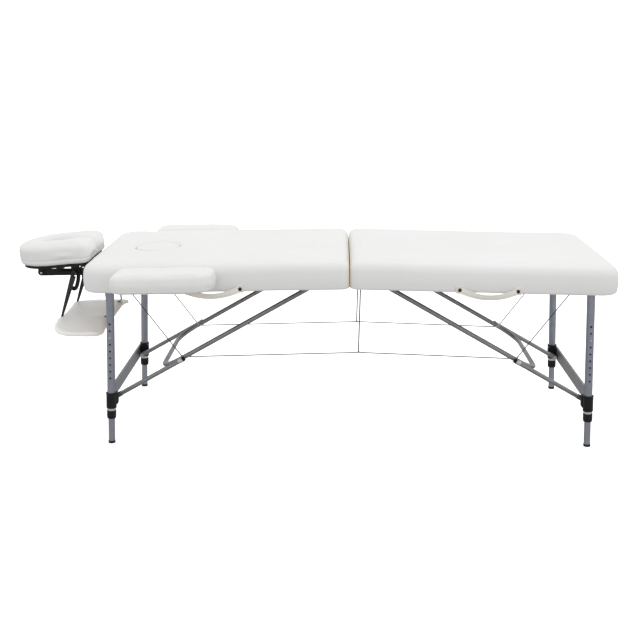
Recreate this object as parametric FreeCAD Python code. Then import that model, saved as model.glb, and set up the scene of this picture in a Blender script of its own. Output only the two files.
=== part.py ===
import FreeCAD, Part
import math
import os

# Portable two-section massage table: padded head and foot halves hinged at the fold line,
# aluminium legs that fold inside, a face rest, side armrests and a hanging arm shelf.
# Millimetres, +Z up, floor at Z 0, +X towards the foot end, origin at the bottom centre.
#
# Each half is drawn in its own frame: X runs outwards from the fold line, -Y is the handle side.
# place() then drops its outer end a little and puts it on the head or the foot side.

Vec = FreeCAD.Vector
UP = Vec(0, 0, 1)
ALONG_X = Vec(1, 0, 0)
ALONG_Y = Vec(0, 1, 0)
ORIGIN = Vec(0, 0, 0)

# Table halves
FOLD_X = 152.49  # fold line, ahead of the middle of the overall length
CAMBER = 1.17  # degrees by which each half falls away from the fold line
FOLD_GAP = 1.0
HALF_LENGTH = 930.0
HALF_WIDTH = 350.0
UNDER_Z = 580.0
TOP_Z = 676.0
OUTER_CORNER = 75.0
FOLD_CORNER = 30.0
TOP_ROUND = 25.0
BOTTOM_ROUND = 8.0
SKIN = 2.0
SKIN_GAP = 0.3  # between the cover and what it is wrapped round
DECK_Z = 624.0
DECK_THICK = 6.0
SIDE_RAIL = 16.0
FOLD_RAIL = 30.0
RAIL_JOINT_FOLD = 70.0
RAIL_JOINT_END = 850.0
CAVITY_CORNER = 50.0

# Fold hinges: one pin line just under the frame, so the folded halves stay a little apart
HINGE_YS = (-230.0, 0.0, 230.0)
PIN_DROP = 6.0
PIN_R = 2.5
KNUCKLE_R = 5.0
HINGE_HALF = 30.0
MIDDLE_KNUCKLE = 12.0  # half length of the knuckle on the foot half
KNUCKLE_GAP = 0.5
LEAF_START = 6.0
LEAF_THICK = 2.5
LEAF_END = 32.0
LEAF_SCREW_X = 23.0
RUNNING = 0.05

# Legs: distances along the leg are from the pivot at its top
LEG_X = 831.0
LEG_Y = 312.0
PIVOT_Z = 600.0
SPLAY = 2.5 + CAMBER
OUTER_TUBE_R = 14.0
OUTER_BORE_R = 12.5
OUTER_TUBE_TOP = 13.0
OUTER_TUBE_END = 480.0
COLLAR_R = 18.0
COLLAR_TOP = 392.0
COLLAR_END = 449.0
RING_R = 15.2
RING_END = 458.0
NUT_R = 16.5
NUT_TOP = 459.0
NUT_STEP = 482.0
NUT_END = 488.0
NUT_BORE_R = 11.8
INNER_TUBE_R = 11.5
INNER_BORE_R = 10.2
INNER_TUBE_TOP = 150.0
INNER_TUBE_END = 575.0
FOOT_R = 12.5
FOOT_END = 600.0  # trimmed flat on the floor
HOLE_R = 3.9
HOLE_FIRST = 136.0
HOLE_PITCH = 25.0
HOLE_COUNT = 9
BUTTON_R = 3.5
BUTTON_HOLE = 2  # index of the hole that the spring button sits in
LEG_PIN_R = 5.0
CROSSBAR_IN = 11.0
CROSSBAR_OUT = 19.0
CROSSBAR_TOP = 395.0
CROSSBAR_END = 447.0
CROSSBAR_HALF = 296.5
LUG_INNER = 26.0  # from the leg axis to the face that the strut bears on

# Folding linkage: leg, strut and bow lie flat in the cavity when folded
BOW_X = 72.0
BOW_Y = 228.0
BOW_R = 8.5
BOW_BORE_R = 7.3
BOW_PIN_R = 4.0
BOW_CORNER = 92.0
BOW_PAST_JOINT = 90.0
STRUT_Y = 253.0
STRUT_R = 8.0
STRUT_BORE_R = 6.8
STRUT_PIN_D = 430.0  # leg pivot to strut pin, along the leg
STRUT_PIN_R = 4.0
RIVET_R = 3.0
TAB_HALF = 2.0
BRACKET_WALL = 2.5
BRACKET_GAP = 1.0

# Stay cables
CABLE_R = 1.6
WIRE_R = 2.0
EYE_Z = 592.0
EYE_R = 4.5
EYE_WIRE_R = 1.5
UPPER_CABLE_Y = 215.0
LOWER_CABLE_Y = 211.5
UPPER_EYE_X = 805.0
DROP_EYE_X = 40.4
CABLE_CENTRE = Vec(40.4, 209.0, 314.8)  # ferrule under the foot half
CABLE_AT_FOLD = Vec(5.6, 209.0, 312.8)

# Carry handles
HANDLE_X = (375.0, 573.0)
HANDLE_Z = 591.0
HANDLE_SAG = 21.0
HANDLE_BULGE = 13.0
HANDLE_WIDE = 22.0
HANDLE_THICK = 3.0

# Face opening in the head half
FACE_X = 714.0
FACE_HALF_X = 83.0
FACE_HALF_Y = 80.0
LINER = 1.5

# Armrests
ARMREST_X = (452.0, 796.0)
ARMREST_Y = (352.0, 500.0)
ARMREST_Z = (611.0, 672.0)
ARMREST_CORNERS = (70.0, 30.0)
ARMREST_BOARD = 6.0
ARMREST_DOWEL_X = (535.0, 712.0)
DOWEL_R = 8.0
ARMREST_DOWEL_Z = 608.0

# Face rest
BAR_Y = (76.0, 84.0)
BAR_Z = (588.5, 613.0)
BAR_X = (950.0, 1138.0)
REST_DOWEL_Y = 80.0
REST_DOWEL_X = (845.0, 985.0)
REST_PIVOT = Vec(1136.0, 0, 600.75)
REST_BOLT_X = 1010.0
REST_BOLT_HALF = 122.0
REST_TILT = 4.0  # degrees, inner end up
PLATE_Z = (622.0, 629.0)
CUSHION_Z = (629.5, 709.0)
CUSHION_X = (937.0, 1229.0)
CUSHION_HALF = 148.0
CUSHION_HOLE = Vec(1072.0, 0, 0)
CUSHION_HOLE_HALF = (56.0, 30.0)
CUSHION_GAP = 3.0

# Arm shelf
SLING_X = (888.0, 1082.0)
SLING_HALF = 245.0
SLING_Z = (420.0, 434.0)
STRAP_Y = (104.0, 120.0)
STRAP_THICK = 1.6
STRAP_WIDE = 13.0  # front straps, which hang edge to the table


def box(xs, ys, zs):
    """A block between pairs of coordinates."""
    size = (xs[1] - xs[0], ys[1] - ys[0], zs[1] - zs[0])
    return Part.makeBox(*size, Vec(xs[0], ys[0], zs[0]))


def rod(start, end, radius):
    """A solid round bar between two points."""
    line = end - start
    return Part.makeCylinder(radius, line.Length, start, line)


def tube(start, end, outer, bore):
    """A hollow round bar between two points."""
    return rod(start, end, outer).cut(rod(start, end, bore))


def cross_rod(x, z, radius, y_start, y_end):
    """A round bar along Y."""
    return rod(Vec(x, y_start, z), Vec(x, y_end, z), radius)


def fuse(*shapes):
    """One solid from touching pieces."""
    return shapes[0].fuse(list(shapes[1:])).removeSplitter()


def mirrored(shape):
    """The same piece on the handle side."""
    return shape.mirror(ORIGIN, ALONG_Y)


def both(shape):
    """The piece and its mirror image across the table's centre line."""
    return [shape, mirrored(shape)]


def rounded_edges(shape, radius, test):
    """The shape with a round on each edge that passes the test."""
    return shape.makeFillet(radius, [edge for edge in shape.Edges if test(edge.BoundBox)])


def rounded_block(xs, ys, zs, corners, top, bottom):
    """A block with plan corners (near X, far X) and rounded top and bottom edges."""
    shape = box(xs, ys, zs)
    for x, radius in zip(xs, corners):
        if radius:
            shape = rounded_edges(shape, radius, lambda b: b.ZLength > 1 and abs(b.XMin - x) < 0.01)
    if top:
        shape = rounded_edges(shape, top, lambda b: b.ZMin > zs[1] - 0.01)
    if bottom:
        shape = rounded_edges(shape, bottom, lambda b: b.ZMax < zs[0] + 0.01)
    return shape


def oval(centre, half_x, half_y, zs):
    """An upright elliptical cylinder."""
    major, minor = max(half_x, half_y), min(half_x, half_y)
    curve = Part.Ellipse(ORIGIN, major, minor)
    face = Part.Face(Part.Wire(curve.toShape()))
    if half_y > half_x:
        face.rotate(ORIGIN, UP, 90)
    face.translate(Vec(centre.x, centre.y, zs[0]))
    return face.extrude(Vec(0, 0, zs[1] - zs[0]))


def arc_band(centre, radii, angles, ys):
    """A flat curved bar in the XZ plane, between two radii and two angles in degrees."""

    def point(radius, angle):
        turn = math.radians(angle)
        return Vec(centre.x + radius * math.cos(turn), ys[0], centre.z + radius * math.sin(turn))

    first, last = angles
    middle = (first + last) / 2
    inner, outer = radii
    edges = [
        Part.Arc(point(outer, first), point(outer, middle), point(outer, last)).toShape(),
        Part.makeLine(point(outer, last), point(inner, last)),
        Part.Arc(point(inner, last), point(inner, middle), point(inner, first)).toShape(),
        Part.makeLine(point(inner, first), point(outer, first)),
    ]
    return Part.Face(Part.Wire(edges)).extrude(Vec(0, ys[1] - ys[0], 0))


def place(shape, half):
    """Moves a piece from its half's own frame to its place on the table."""
    moved = shape.copy()
    moved.rotate(Vec(0, 0, UNDER_Z), ALONG_Y, CAMBER)
    if half == "head":
        moved = moved.mirror(ORIGIN, ALONG_X)
    moved.translate(Vec(FOLD_X, 0, 0))
    return moved


def save(node, half, solids):
    """Writes one node; a half of None means that the solids are already in place."""
    placed = [place(solid, half) if half else solid for solid in solids]
    Part.makeCompound(placed).exportStep("parts/" + node + ".step")


# Table halves


def half_block(inset):
    """The padded block of one half, shrunk all round by an inset."""
    xs = (FOLD_GAP + inset, HALF_LENGTH - inset)
    ys = (inset - HALF_WIDTH, HALF_WIDTH - inset)
    zs = (UNDER_Z + inset, TOP_Z - inset)
    corners = (FOLD_CORNER - inset, OUTER_CORNER - inset)
    return rounded_block(xs, ys, zs, corners, TOP_ROUND - inset, BOTTOM_ROUND - inset)


def cavity():
    """The open space inside the frame rails, under the deck."""
    wall = SKIN + SIDE_RAIL
    xs = (FOLD_GAP + SKIN + FOLD_RAIL, HALF_LENGTH - wall)
    ys = (wall - HALF_WIDTH, HALF_WIDTH - wall)
    return rounded_block(xs, ys, (UNDER_Z - 1, DECK_Z), (1, CAVITY_CORNER), 0, 0)


def face_oval(grow, zs):
    """The face opening, grown outwards by a margin."""
    return oval(Vec(FACE_X, 0, 0), FACE_HALF_X + grow, FACE_HALF_Y + grow, zs)


def armrest_sockets(radius):
    """Holes through the side rails for the armrest dowels."""
    sockets = []
    for x in ARMREST_DOWEL_X:
        hole = cross_rod(x, ARMREST_DOWEL_Z, radius, HALF_WIDTH - 25, HALF_WIDTH + 5)
        sockets += both(hole)
    return sockets


def rest_sockets(radius):
    """Holes through the head end rail for the face rest dowels."""
    start = Vec(HALF_LENGTH - 40, REST_DOWEL_Y, REST_PIVOT.z)
    return both(rod(start, start + Vec(45, 0, 0), radius))


def leaf_screw_places():
    """Centres of the hinge leaf screws."""
    return [(LEAF_SCREW_X, y + offset) for y in HINGE_YS for offset in (-18.0, 18.0)]


def screw_shanks():
    """Shanks of the hinge leaf screws and the handle screws."""
    depth = 16.0
    shanks = []
    for x, y in leaf_screw_places():
        foot = Vec(x, y, UNDER_Z - LEAF_THICK)
        shanks.append(rod(foot, foot + Vec(0, 0, depth), 2.0))
    for x in HANDLE_X:
        shanks.append(cross_rod(x, HANDLE_Z, 2.0, -HALF_WIDTH - HANDLE_THICK - 0.2, depth - HALF_WIDTH))
    return shanks


def make_half(half):
    """Cover, foam, deck and frame rails of one half."""
    core = half_block(SKIN + SKIN_GAP)
    low_core = box((0, HALF_LENGTH), (-HALF_WIDTH, HALF_WIDTH), (UNDER_Z + SKIN, DECK_Z))
    wrapped = half_block(SKIN)
    cuts = screw_shanks()
    cover = half_block(0).cut(wrapped).cut(cavity()).cut(cuts)
    ring = core.common(low_core).cut(cavity()).cut(cuts)
    deck = core.common(box((0, HALF_LENGTH), (-HALF_WIDTH, HALF_WIDTH), (DECK_Z, DECK_Z + DECK_THICK)))
    foam = core.common(box((0, HALF_LENGTH), (-HALF_WIDTH, HALF_WIDTH), (DECK_Z + DECK_THICK, TOP_Z)))
    if half == "head":
        cover = cover.cut([face_oval(0, (TOP_Z - 10, TOP_Z + 10))])
        cover = cover.cut(armrest_sockets(DOWEL_R + 0.3) + rest_sockets(DOWEL_R + 0.3))
        liner = face_oval(LINER, (DECK_Z, TOP_Z - SKIN + 0.5)).cut(face_oval(0, (DECK_Z, TOP_Z)))
        cover = fuse(cover, liner)
        deck = deck.cut(face_oval(LINER + SKIN_GAP, (DECK_Z, TOP_Z)))
        foam = foam.cut(face_oval(LINER + SKIN_GAP, (DECK_Z, TOP_Z)))
        ring = ring.cut(armrest_sockets(DOWEL_R + RUNNING) + rest_sockets(DOWEL_R + RUNNING))
    wide = (-HALF_WIDTH, HALF_WIDTH)
    tall = (UNDER_Z, DECK_Z)
    side_rail = ring.common(box((RAIL_JOINT_FOLD, RAIL_JOINT_END), (0, HALF_WIDTH), tall))
    near_rail = ring.common(box((RAIL_JOINT_FOLD, RAIL_JOINT_END), (-HALF_WIDTH, 0), tall))
    fold_rail = ring.common(box((0, RAIL_JOINT_FOLD), wide, tall))
    end_rail = ring.common(box((RAIL_JOINT_END, HALF_LENGTH), wide, tall))
    save(half + "_cover", half, [cover])
    save(half + "_foam", half, [foam])
    save(half + "_deck", half, [deck])
    save(half + "_rails", half, [side_rail, near_rail, fold_rail, end_rail])


def make_face_plug():
    """Loose pad that fills the face opening."""
    plug = face_oval(-0.8, (DECK_Z + DECK_THICK, TOP_Z + 1))
    plug = rounded_edges(plug, 6, lambda b: b.ZMin > TOP_Z)
    save("face_plug", "head", [plug])


# Fold hinge


def hinge_pin(radius, y, reach):
    """A bar on the fold axis, drawn in the frame of a half."""
    turn = math.radians(CAMBER)
    x = PIN_DROP * math.sin(turn)
    z = UNDER_Z - PIN_DROP * math.cos(turn)
    return cross_rod(x, z, radius, y - reach, y + reach)


def make_hinge_leaves(half):
    """Leaves screwed under the fold rails: end knuckles on the head half, a middle one on the foot."""
    solids = []
    for y in HINGE_YS:
        pin = hinge_pin(PIN_R, y, HINGE_HALF)
        zs = (UNDER_Z - LEAF_THICK, UNDER_Z)
        leaf = box((LEAF_START, LEAF_END), (y - HINGE_HALF, y + HINGE_HALF), zs)
        root = box((0.5, LEAF_START), (y - HINGE_HALF, y + HINGE_HALF), zs)
        whole = fuse(leaf, root, hinge_pin(KNUCKLE_R, y, HINGE_HALF))
        near_axis = (-20, LEAF_START)
        tall = (0, TOP_Z)
        if half == "head":
            reach = MIDDLE_KNUCKLE + KNUCKLE_GAP
            whole = whole.cut([box(near_axis, (y - reach, y + reach), tall), pin])
            solids.append(pin)
        else:
            for ys in ((y - HINGE_HALF - 1, y - MIDDLE_KNUCKLE), (y + MIDDLE_KNUCKLE, y + HINGE_HALF + 1)):
                whole = whole.cut(box(near_axis, ys, tall))
            whole = whole.cut(hinge_pin(PIN_R + RUNNING, y, HINGE_HALF))
        solids.append(whole.cut(screw_shanks()))
    save(half + "_hinge_leaves", half, solids)


# Brackets and fasteners


def bracket(x, y, radius, pin_radius, half_length):
    """A channel under the deck with its pivot pin; the piece between its cheeks turns on the pin."""
    inner = radius + BRACKET_GAP
    outer = inner + BRACKET_WALL
    xs = (x - half_length, x + half_length)
    zs = (PIVOT_Z - half_length + 4, DECK_Z)
    channel = box(xs, (y - outer, y + outer), zs)
    channel = channel.cut(box((xs[0] - 1, xs[1] + 1), (y - inner, y + inner), (0, DECK_Z - BRACKET_WALL)))
    pin = cross_rod(x, PIVOT_Z, pin_radius, y - outer - 1, y + outer + 1)
    return [channel.cut(pin), pin]


def make_brackets(half):
    leg = bracket(LEG_X, LEG_Y, OUTER_TUBE_R, LEG_PIN_R, 20.0)
    bow = bracket(BOW_X, BOW_Y, BOW_R, BOW_PIN_R, 16.0)
    solids = []
    for solid in leg + bow:
        solids += both(solid)
    save(half + "_brackets", half, solids)


def eye_bolt(x, y):
    """A screw eye under the deck that a cable hangs from."""
    ring = Part.makeTorus(EYE_R, EYE_WIRE_R, Vec(x, y, EYE_Z), ALONG_Y)
    stem = rod(Vec(x, y, EYE_Z + EYE_R), Vec(x, y, DECK_Z), EYE_WIRE_R)
    return fuse(ring, stem)


def make_fasteners(half):
    """Hinge screws, handle screws and cable eyes."""
    solids = screw_shanks()
    for index, (x, y) in enumerate(leaf_screw_places()):
        top = Vec(x, y, UNDER_Z - LEAF_THICK)
        solids[index] = fuse(solids[index], rod(top - Vec(0, 0, 1.2), top, 3.6))
    first_handle_screw = len(leaf_screw_places())
    for index, x in enumerate(HANDLE_X):
        face = -HALF_WIDTH - HANDLE_THICK - 0.2
        washer = cross_rod(x, HANDLE_Z, 6.0, face - 1, face)
        head = cross_rod(x, HANDLE_Z, 4.0, face - 3.2, face - 1)
        slot = first_handle_screw + index
        solids[slot] = fuse(solids[slot], washer, head)
    eyes = both(eye_bolt(UPPER_EYE_X, UPPER_CABLE_Y))
    if half == "foot":
        eyes += both(eye_bolt(DROP_EYE_X, CABLE_CENTRE.y))
    save(half + "_fasteners", half, solids + eyes)


def make_handle(half):
    """A strap that sags and bows out between two square tabs on the handle side."""
    x_first, x_last = HANDLE_X
    middle = (x_first + x_last) / 2
    face_y = -HALF_WIDTH - 0.2
    drop = math.hypot(HANDLE_SAG, HANDLE_BULGE)
    half_span = (x_last - x_first) / 2 - 8
    radius = (half_span**2 + drop**2) / (2 * drop)
    reach = math.degrees(math.asin(half_span / radius))
    centre = Vec(middle, 0, HANDLE_Z - drop + radius)
    radii = (radius - HANDLE_WIDE / 2, radius + HANDLE_WIDE / 2)
    strap = arc_band(centre, radii, (270 - reach, 270 + reach), (face_y - HANDLE_THICK, face_y))
    lean = math.degrees(math.atan2(HANDLE_BULGE, HANDLE_SAG))
    strap.rotate(Vec(middle, face_y, HANDLE_Z), ALONG_X, -lean)
    wall = box((x_first - 30, x_last + 30), (face_y, 0), (HANDLE_Z - 60, HANDLE_Z + 60))
    strap = strap.cut(wall)
    pieces = [strap]
    tab = HANDLE_WIDE / 2 + 2
    for x in HANDLE_X:
        zs = (HANDLE_Z - tab, HANDLE_Z + tab)
        pieces.append(box((x - tab, x + tab), (face_y - HANDLE_THICK, face_y), zs))
    save(half + "_carry_handle", half, [fuse(*pieces).cut(screw_shanks())])


# Legs: drawn pointing down from a pivot at the origin, +Y being the table's outside


def set_leg(shape):
    """Splays a leg piece and moves it to the far leg's pivot."""
    moved = shape.copy()
    moved.rotate(ORIGIN, ALONG_Y, -SPLAY)
    moved.translate(Vec(LEG_X, LEG_Y, PIVOT_Z))
    return moved


def leg_span(top, end, outer, bore):
    """A hollow length of leg between two distances from the pivot."""
    return tube(Vec(0, 0, -top), Vec(0, 0, -end), outer, bore)


def outer_tube():
    shape = leg_span(-OUTER_TUBE_TOP, OUTER_TUBE_END, OUTER_TUBE_R, OUTER_BORE_R)
    holes = [cross_rod(0, 0, LEG_PIN_R + RUNNING, -20, 20)]
    for index in range(HOLE_COUNT):
        holes.append(cross_rod(0, -HOLE_FIRST - index * HOLE_PITCH, HOLE_R, 5, 20))
    return shape.cut(holes)


def collar():
    """Moulded sleeve with a lug that carries the strut."""
    sleeve = rod(Vec(0, 0, -COLLAR_TOP), Vec(0, 0, -COLLAR_END), COLLAR_R)
    lug = box((-21, 10.5), (-LUG_INNER, -10), (-COLLAR_END + 6, -COLLAR_TOP - 3))
    lug = rounded_edges(lug, 9, lambda b: b.YLength > 10 and b.XMax < -20)
    bore = rod(Vec(0, 0, 0), Vec(0, 0, -OUTER_TUBE_END), OUTER_TUBE_R + RUNNING)
    return fuse(sleeve, lug).cut(bore).cut(cross_rod(0, -STRUT_PIN_D, STRUT_PIN_R, -LUG_INNER - 1, -20))


def strut_pin():
    """Shouldered rivet in the collar's lug."""
    inner_face = STRUT_Y - LEG_Y - TAB_HALF
    outer_face = STRUT_Y - LEG_Y + TAB_HALF
    shank = cross_rod(0, -STRUT_PIN_D, STRUT_PIN_R, inner_face - 0.3, -20)
    spacer = cross_rod(0, -STRUT_PIN_D, STRUT_PIN_R + 3, outer_face + 0.3, -LUG_INNER)
    head = cross_rod(0, -STRUT_PIN_D, STRUT_PIN_R + 3, inner_face - 3, inner_face - 0.3)
    return fuse(shank, spacer, head)


def lock_nut():
    upper = leg_span(NUT_TOP, NUT_STEP, NUT_R, OUTER_TUBE_R + 0.2)
    lip = leg_span(NUT_STEP, NUT_END, NUT_R - 0.8, NUT_BORE_R)
    return fuse(upper, lip)


def button_z():
    return -HOLE_FIRST - BUTTON_HOLE * HOLE_PITCH


def inner_tube():
    shape = leg_span(INNER_TUBE_TOP, INNER_TUBE_END, INNER_TUBE_R, INNER_BORE_R)
    return shape.cut(cross_rod(0, button_z(), BUTTON_R + 0.2, 5, 20))


def spring_button():
    """Button on a leaf spring inside the inner tube."""
    knob = cross_rod(0, button_z(), BUTTON_R, 7, OUTER_TUBE_R + 1.5)
    knob = rounded_edges(knob, 1.2, lambda b: b.YMin > OUTER_TUBE_R + 1)
    leaf = box((-3, 3), (6.2, 7.2), (button_z() - 36, button_z() + 8))
    return fuse(knob, leaf)


def rubber_foot():
    rim = rod(Vec(0, 0, -INNER_TUBE_END), Vec(0, 0, -FOOT_END), FOOT_R)
    plug = rod(Vec(0, 0, 15 - INNER_TUBE_END), Vec(0, 0, -INNER_TUBE_END), INNER_BORE_R - RUNNING)
    return fuse(rim, plug)


def make_legs(half):
    save(half + "_leg_tubes", half, both(set_leg(outer_tube())))
    save(half + "_leg_collars", half, both(set_leg(collar())))
    ring = leg_span(COLLAR_END, RING_END, RING_R, OUTER_TUBE_R + RUNNING)
    save(half + "_leg_fittings", half, both(set_leg(ring)) + both(set_leg(strut_pin())))
    bar_ys = (-CROSSBAR_HALF, CROSSBAR_HALF)
    crossbar = box((CROSSBAR_IN, CROSSBAR_OUT), bar_ys, (-CROSSBAR_END, -CROSSBAR_TOP))
    crossbar = rounded_edges(crossbar, 2, lambda b: b.YLength > 100)
    crossbar = set_leg(crossbar)
    crossbar.translate(Vec(0, -LEG_Y, 0))
    save(half + "_leg_crossbar", half, [crossbar])
    floor = box((-2000, 2000), (-1000, 1000), (-200, 0))
    for side, flip in (("near", mirrored), ("far", lambda shape: shape)):
        name = half + "_" + side
        save(name + "_lock_nut", half, [flip(set_leg(lock_nut()))])
        save(name + "_inner_tube", half, [flip(set_leg(inner_tube()))])
        save(name + "_spring_button", half, [flip(set_leg(spring_button()))])
        foot = place(flip(set_leg(rubber_foot())), half).cut(floor)
        save(name + "_foot", None, [foot])


# Linkage: lengths that let the leg, the strut and the bow fold flat, one inside another


def linkage():
    """Strut pin on the open leg, slope of the bow in degrees, and both lengths from the joint."""
    splay = math.radians(SPLAY)
    pin = Vec(LEG_X + STRUT_PIN_D * math.sin(splay), 0, PIVOT_Z - STRUT_PIN_D * math.cos(splay))
    span = (pin - Vec(BOW_X, 0, PIVOT_Z)).Length
    folded_span = LEG_X - BOW_X - STRUT_PIN_D
    slope = math.degrees(math.asin((PIVOT_Z - pin.z) / span))
    return pin, slope, (span + folded_span) / 2, (span - folded_span) / 2


def lay_along_bow(shape, start):
    """Turns a piece drawn along X down to the bow's slope and moves it to its pivot."""
    moved = shape.copy()
    moved.rotate(ORIGIN, ALONG_Y, linkage()[1])
    moved.translate(start)
    return moved


def make_bow(half):
    """One bent tube: two arms, two round corners and a crosspiece, with the joint rivets."""
    bow_length = linkage()[2]
    end = bow_length + BOW_PAST_JOINT
    corner_x = end - BOW_CORNER
    corner_y = BOW_Y - BOW_CORNER

    def bent_bar(radius):
        arm = rod(Vec(-10, BOW_Y, 0), Vec(corner_x, BOW_Y, 0), radius)
        bend = Part.makeTorus(BOW_CORNER, radius, Vec(corner_x, corner_y, 0), UP, 0, 360, 90)
        cross = rod(Vec(end, -corner_y, 0), Vec(end, corner_y, 0), radius)
        return fuse(cross, *both(arm), *both(bend))

    rivet = fuse(
        cross_rod(bow_length, 0, RIVET_R, LOWER_CABLE_Y - 3, STRUT_Y - STRUT_R - 0.5),
        cross_rod(bow_length, 0, RIVET_R + 2, LOWER_CABLE_Y - 5, LOWER_CABLE_Y - 3),
    )
    hole = cross_rod(0, 0, BOW_PIN_R + RUNNING, BOW_Y - 20, BOW_Y + 20)
    bow = bent_bar(BOW_R).cut(bent_bar(BOW_BORE_R)).cut(both(hole) + both(rivet))
    pivot = Vec(BOW_X, 0, PIVOT_Z)
    save(half + "_bow", half, [lay_along_bow(solid, pivot) for solid in [bow] + both(rivet)])


def make_struts(half):
    """Struts from the joint to the collars, flattened at the collar end."""
    pin, _, _, strut_length = linkage()
    far_end = -strut_length - 12
    bar = tube(Vec(far_end, STRUT_Y, 0), Vec(-31, STRUT_Y, 0), STRUT_R, STRUT_BORE_R)
    end_cap = rod(Vec(-31, STRUT_Y, 0), Vec(-28, STRUT_Y, 0), STRUT_R)
    ys = (STRUT_Y - TAB_HALF, STRUT_Y + TAB_HALF)
    flat = fuse(end_cap, box((-30, 0), ys, (-9, 9)), cross_rod(0, 0, 9, *ys))
    rivet = fuse(
        cross_rod(-strut_length, 0, RIVET_R, STRUT_Y - STRUT_R, STRUT_Y + STRUT_R),
        cross_rod(-strut_length, 0, RIVET_R + 2, STRUT_Y + STRUT_R, STRUT_Y + STRUT_R + 2),
    )
    strut = fuse(bar, flat).cut([cross_rod(0, 0, STRUT_PIN_R + RUNNING, *ys), rivet])
    solids = []
    for solid in (strut, rivet):
        solids += both(lay_along_bow(solid, pin))
    save(half + "_struts", half, solids)


# Cables


def joint_place(y):
    """Centre of the rivet that joins bow and strut, at a given Y."""
    _, slope, bow_length, _ = linkage()
    turn = math.radians(slope)
    return Vec(BOW_X + bow_length * math.cos(turn), y, PIVOT_Z - bow_length * math.sin(turn))


def cable_from_joint(y, *stops):
    """A cable with a ring terminal on the joint rivet and a crimp sleeve, through the given stops."""
    start = joint_place(y)
    ring = cross_rod(start.x, start.z, 6.0, y - 1, y + 1)
    first = (stops[0] - start).normalize()
    sleeve = rod(start + first * 5, start + first * 20, 2.1)
    pieces = [ring, sleeve]
    previous = start
    for stop in stops:
        pieces.append(rod(previous, stop, CABLE_R))
        previous = stop
    hole = cross_rod(start.x, start.z, RIVET_R + 0.3, y - 10, y + 10)
    return fuse(*pieces).cut(hole), previous


def make_cables(half):
    under_eye = Vec(UPPER_EYE_X, UPPER_CABLE_Y, EYE_Z - EYE_R - EYE_WIRE_R - 0.4)
    upper, _ = cable_from_joint(UPPER_CABLE_Y, under_eye)
    stops = [CABLE_AT_FOLD]
    if half == "foot":
        stops.insert(0, CABLE_CENTRE)
    lower, end = cable_from_joint(LOWER_CABLE_Y, *stops)
    if half == "foot":
        along = (CABLE_CENTRE - CABLE_AT_FOLD).normalize() * 7
        lower = fuse(lower, rod(CABLE_CENTRE - along, CABLE_CENTRE + along, 3.2))
    save(half + "_cables", half, both(upper) + both(lower))


def make_drop_wires():
    """Wires that hold the middle of the lower cables up to the foot half."""
    top = Vec(DROP_EYE_X, CABLE_CENTRE.y, EYE_Z - EYE_R - EYE_WIRE_R - 0.4)
    wire = rod(top, CABLE_CENTRE + Vec(0, 0, 3.7), WIRE_R)
    save("drop_wires", "foot", both(wire))


# Armrests


def make_armrests():
    """Pads with a board let into the underside, and dowels that push into the side rails."""
    ys = (ARMREST_Y[0] - max(ARMREST_CORNERS), ARMREST_Y[1])
    pad = rounded_block(ARMREST_X, ys, ARMREST_Z, ARMREST_CORNERS, 0, 0)
    pad = pad.common(box((0, HALF_LENGTH), ARMREST_Y, (0, TOP_Z)))
    pad = rounded_edges(pad, 18, lambda b: b.ZMin > ARMREST_Z[1] - 0.01)
    pad = rounded_edges(pad, 8, lambda b: b.ZMax < ARMREST_Z[0] + 0.01)
    board_x = (ARMREST_X[0] + 16, ARMREST_X[1] - 16)
    board_y = (ARMREST_Y[0] + 10, ARMREST_Y[1] - 16)
    board_z = (ARMREST_Z[0], ARMREST_Z[0] + ARMREST_BOARD)
    board = rounded_block(board_x, board_y, board_z, (40, 15), 0, 0)
    room_x = (board_x[0] - SKIN_GAP, board_x[1] + SKIN_GAP)
    room_y = (board_y[0] - SKIN_GAP, board_y[1] + SKIN_GAP)
    room_z = (board_z[0] - 20, board_z[1] + SKIN_GAP)
    pad = pad.cut(rounded_block(room_x, room_y, room_z, (40 + SKIN_GAP, 15 + SKIN_GAP), 0, 0))
    pieces = [board]
    dowels = []
    cleat_room = []
    for x in ARMREST_DOWEL_X:
        cleat_y = (ARMREST_Y[0] + 2, ARMREST_Y[1] - 45)
        pieces.append(box((x - 14, x + 14), cleat_y, (ARMREST_DOWEL_Z - 5, board_z[1])))
        cleat_room.append(box((x - 15, x + 15), (0, board_y[0] + 1), (0, ARMREST_DOWEL_Z + DOWEL_R + 1)))
        dowel_ys = (HALF_WIDTH - SKIN - SIDE_RAIL + 1, ARMREST_Y[1] - 60)
        dowels.append(cross_rod(x, ARMREST_DOWEL_Z, DOWEL_R, *dowel_ys))
    pad = pad.cut(cleat_room)
    base = [fuse(*pieces).cut(dowels)] + dowels
    for side, flip in (("near", mirrored), ("far", lambda shape: shape)):
        save("armrest_" + side + "_pad", "head", [flip(pad)])
        save("armrest_" + side + "_base", "head", [flip(solid) for solid in base])


# Face rest


def rest_outline(inset, zs, top, bottom):
    """Horseshoe block: round outer end, squarer inner end, face hole and a narrow gap."""
    xs = (CUSHION_X[0] + inset, CUSHION_X[1] - inset)
    half = CUSHION_HALF - inset
    shape = rounded_block(xs, (-half, half), zs, (30.0, half - 1), 0, 0)
    through = (zs[0] - 1, zs[1] + 1)
    hole = oval(CUSHION_HOLE, CUSHION_HOLE_HALF[0] + inset, CUSHION_HOLE_HALF[1] + inset, through)
    gap_half = CUSHION_GAP + inset
    gap = box((xs[0] - 1, CUSHION_HOLE.x), (-gap_half, gap_half), through)
    shape = shape.cut(fuse(hole, gap))
    if top:
        shape = rounded_edges(shape, top, lambda b: b.ZMin > zs[1] - 0.01)
    if bottom:
        shape = rounded_edges(shape, bottom, lambda b: b.ZMax < zs[0] + 0.01)
    return shape


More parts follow.
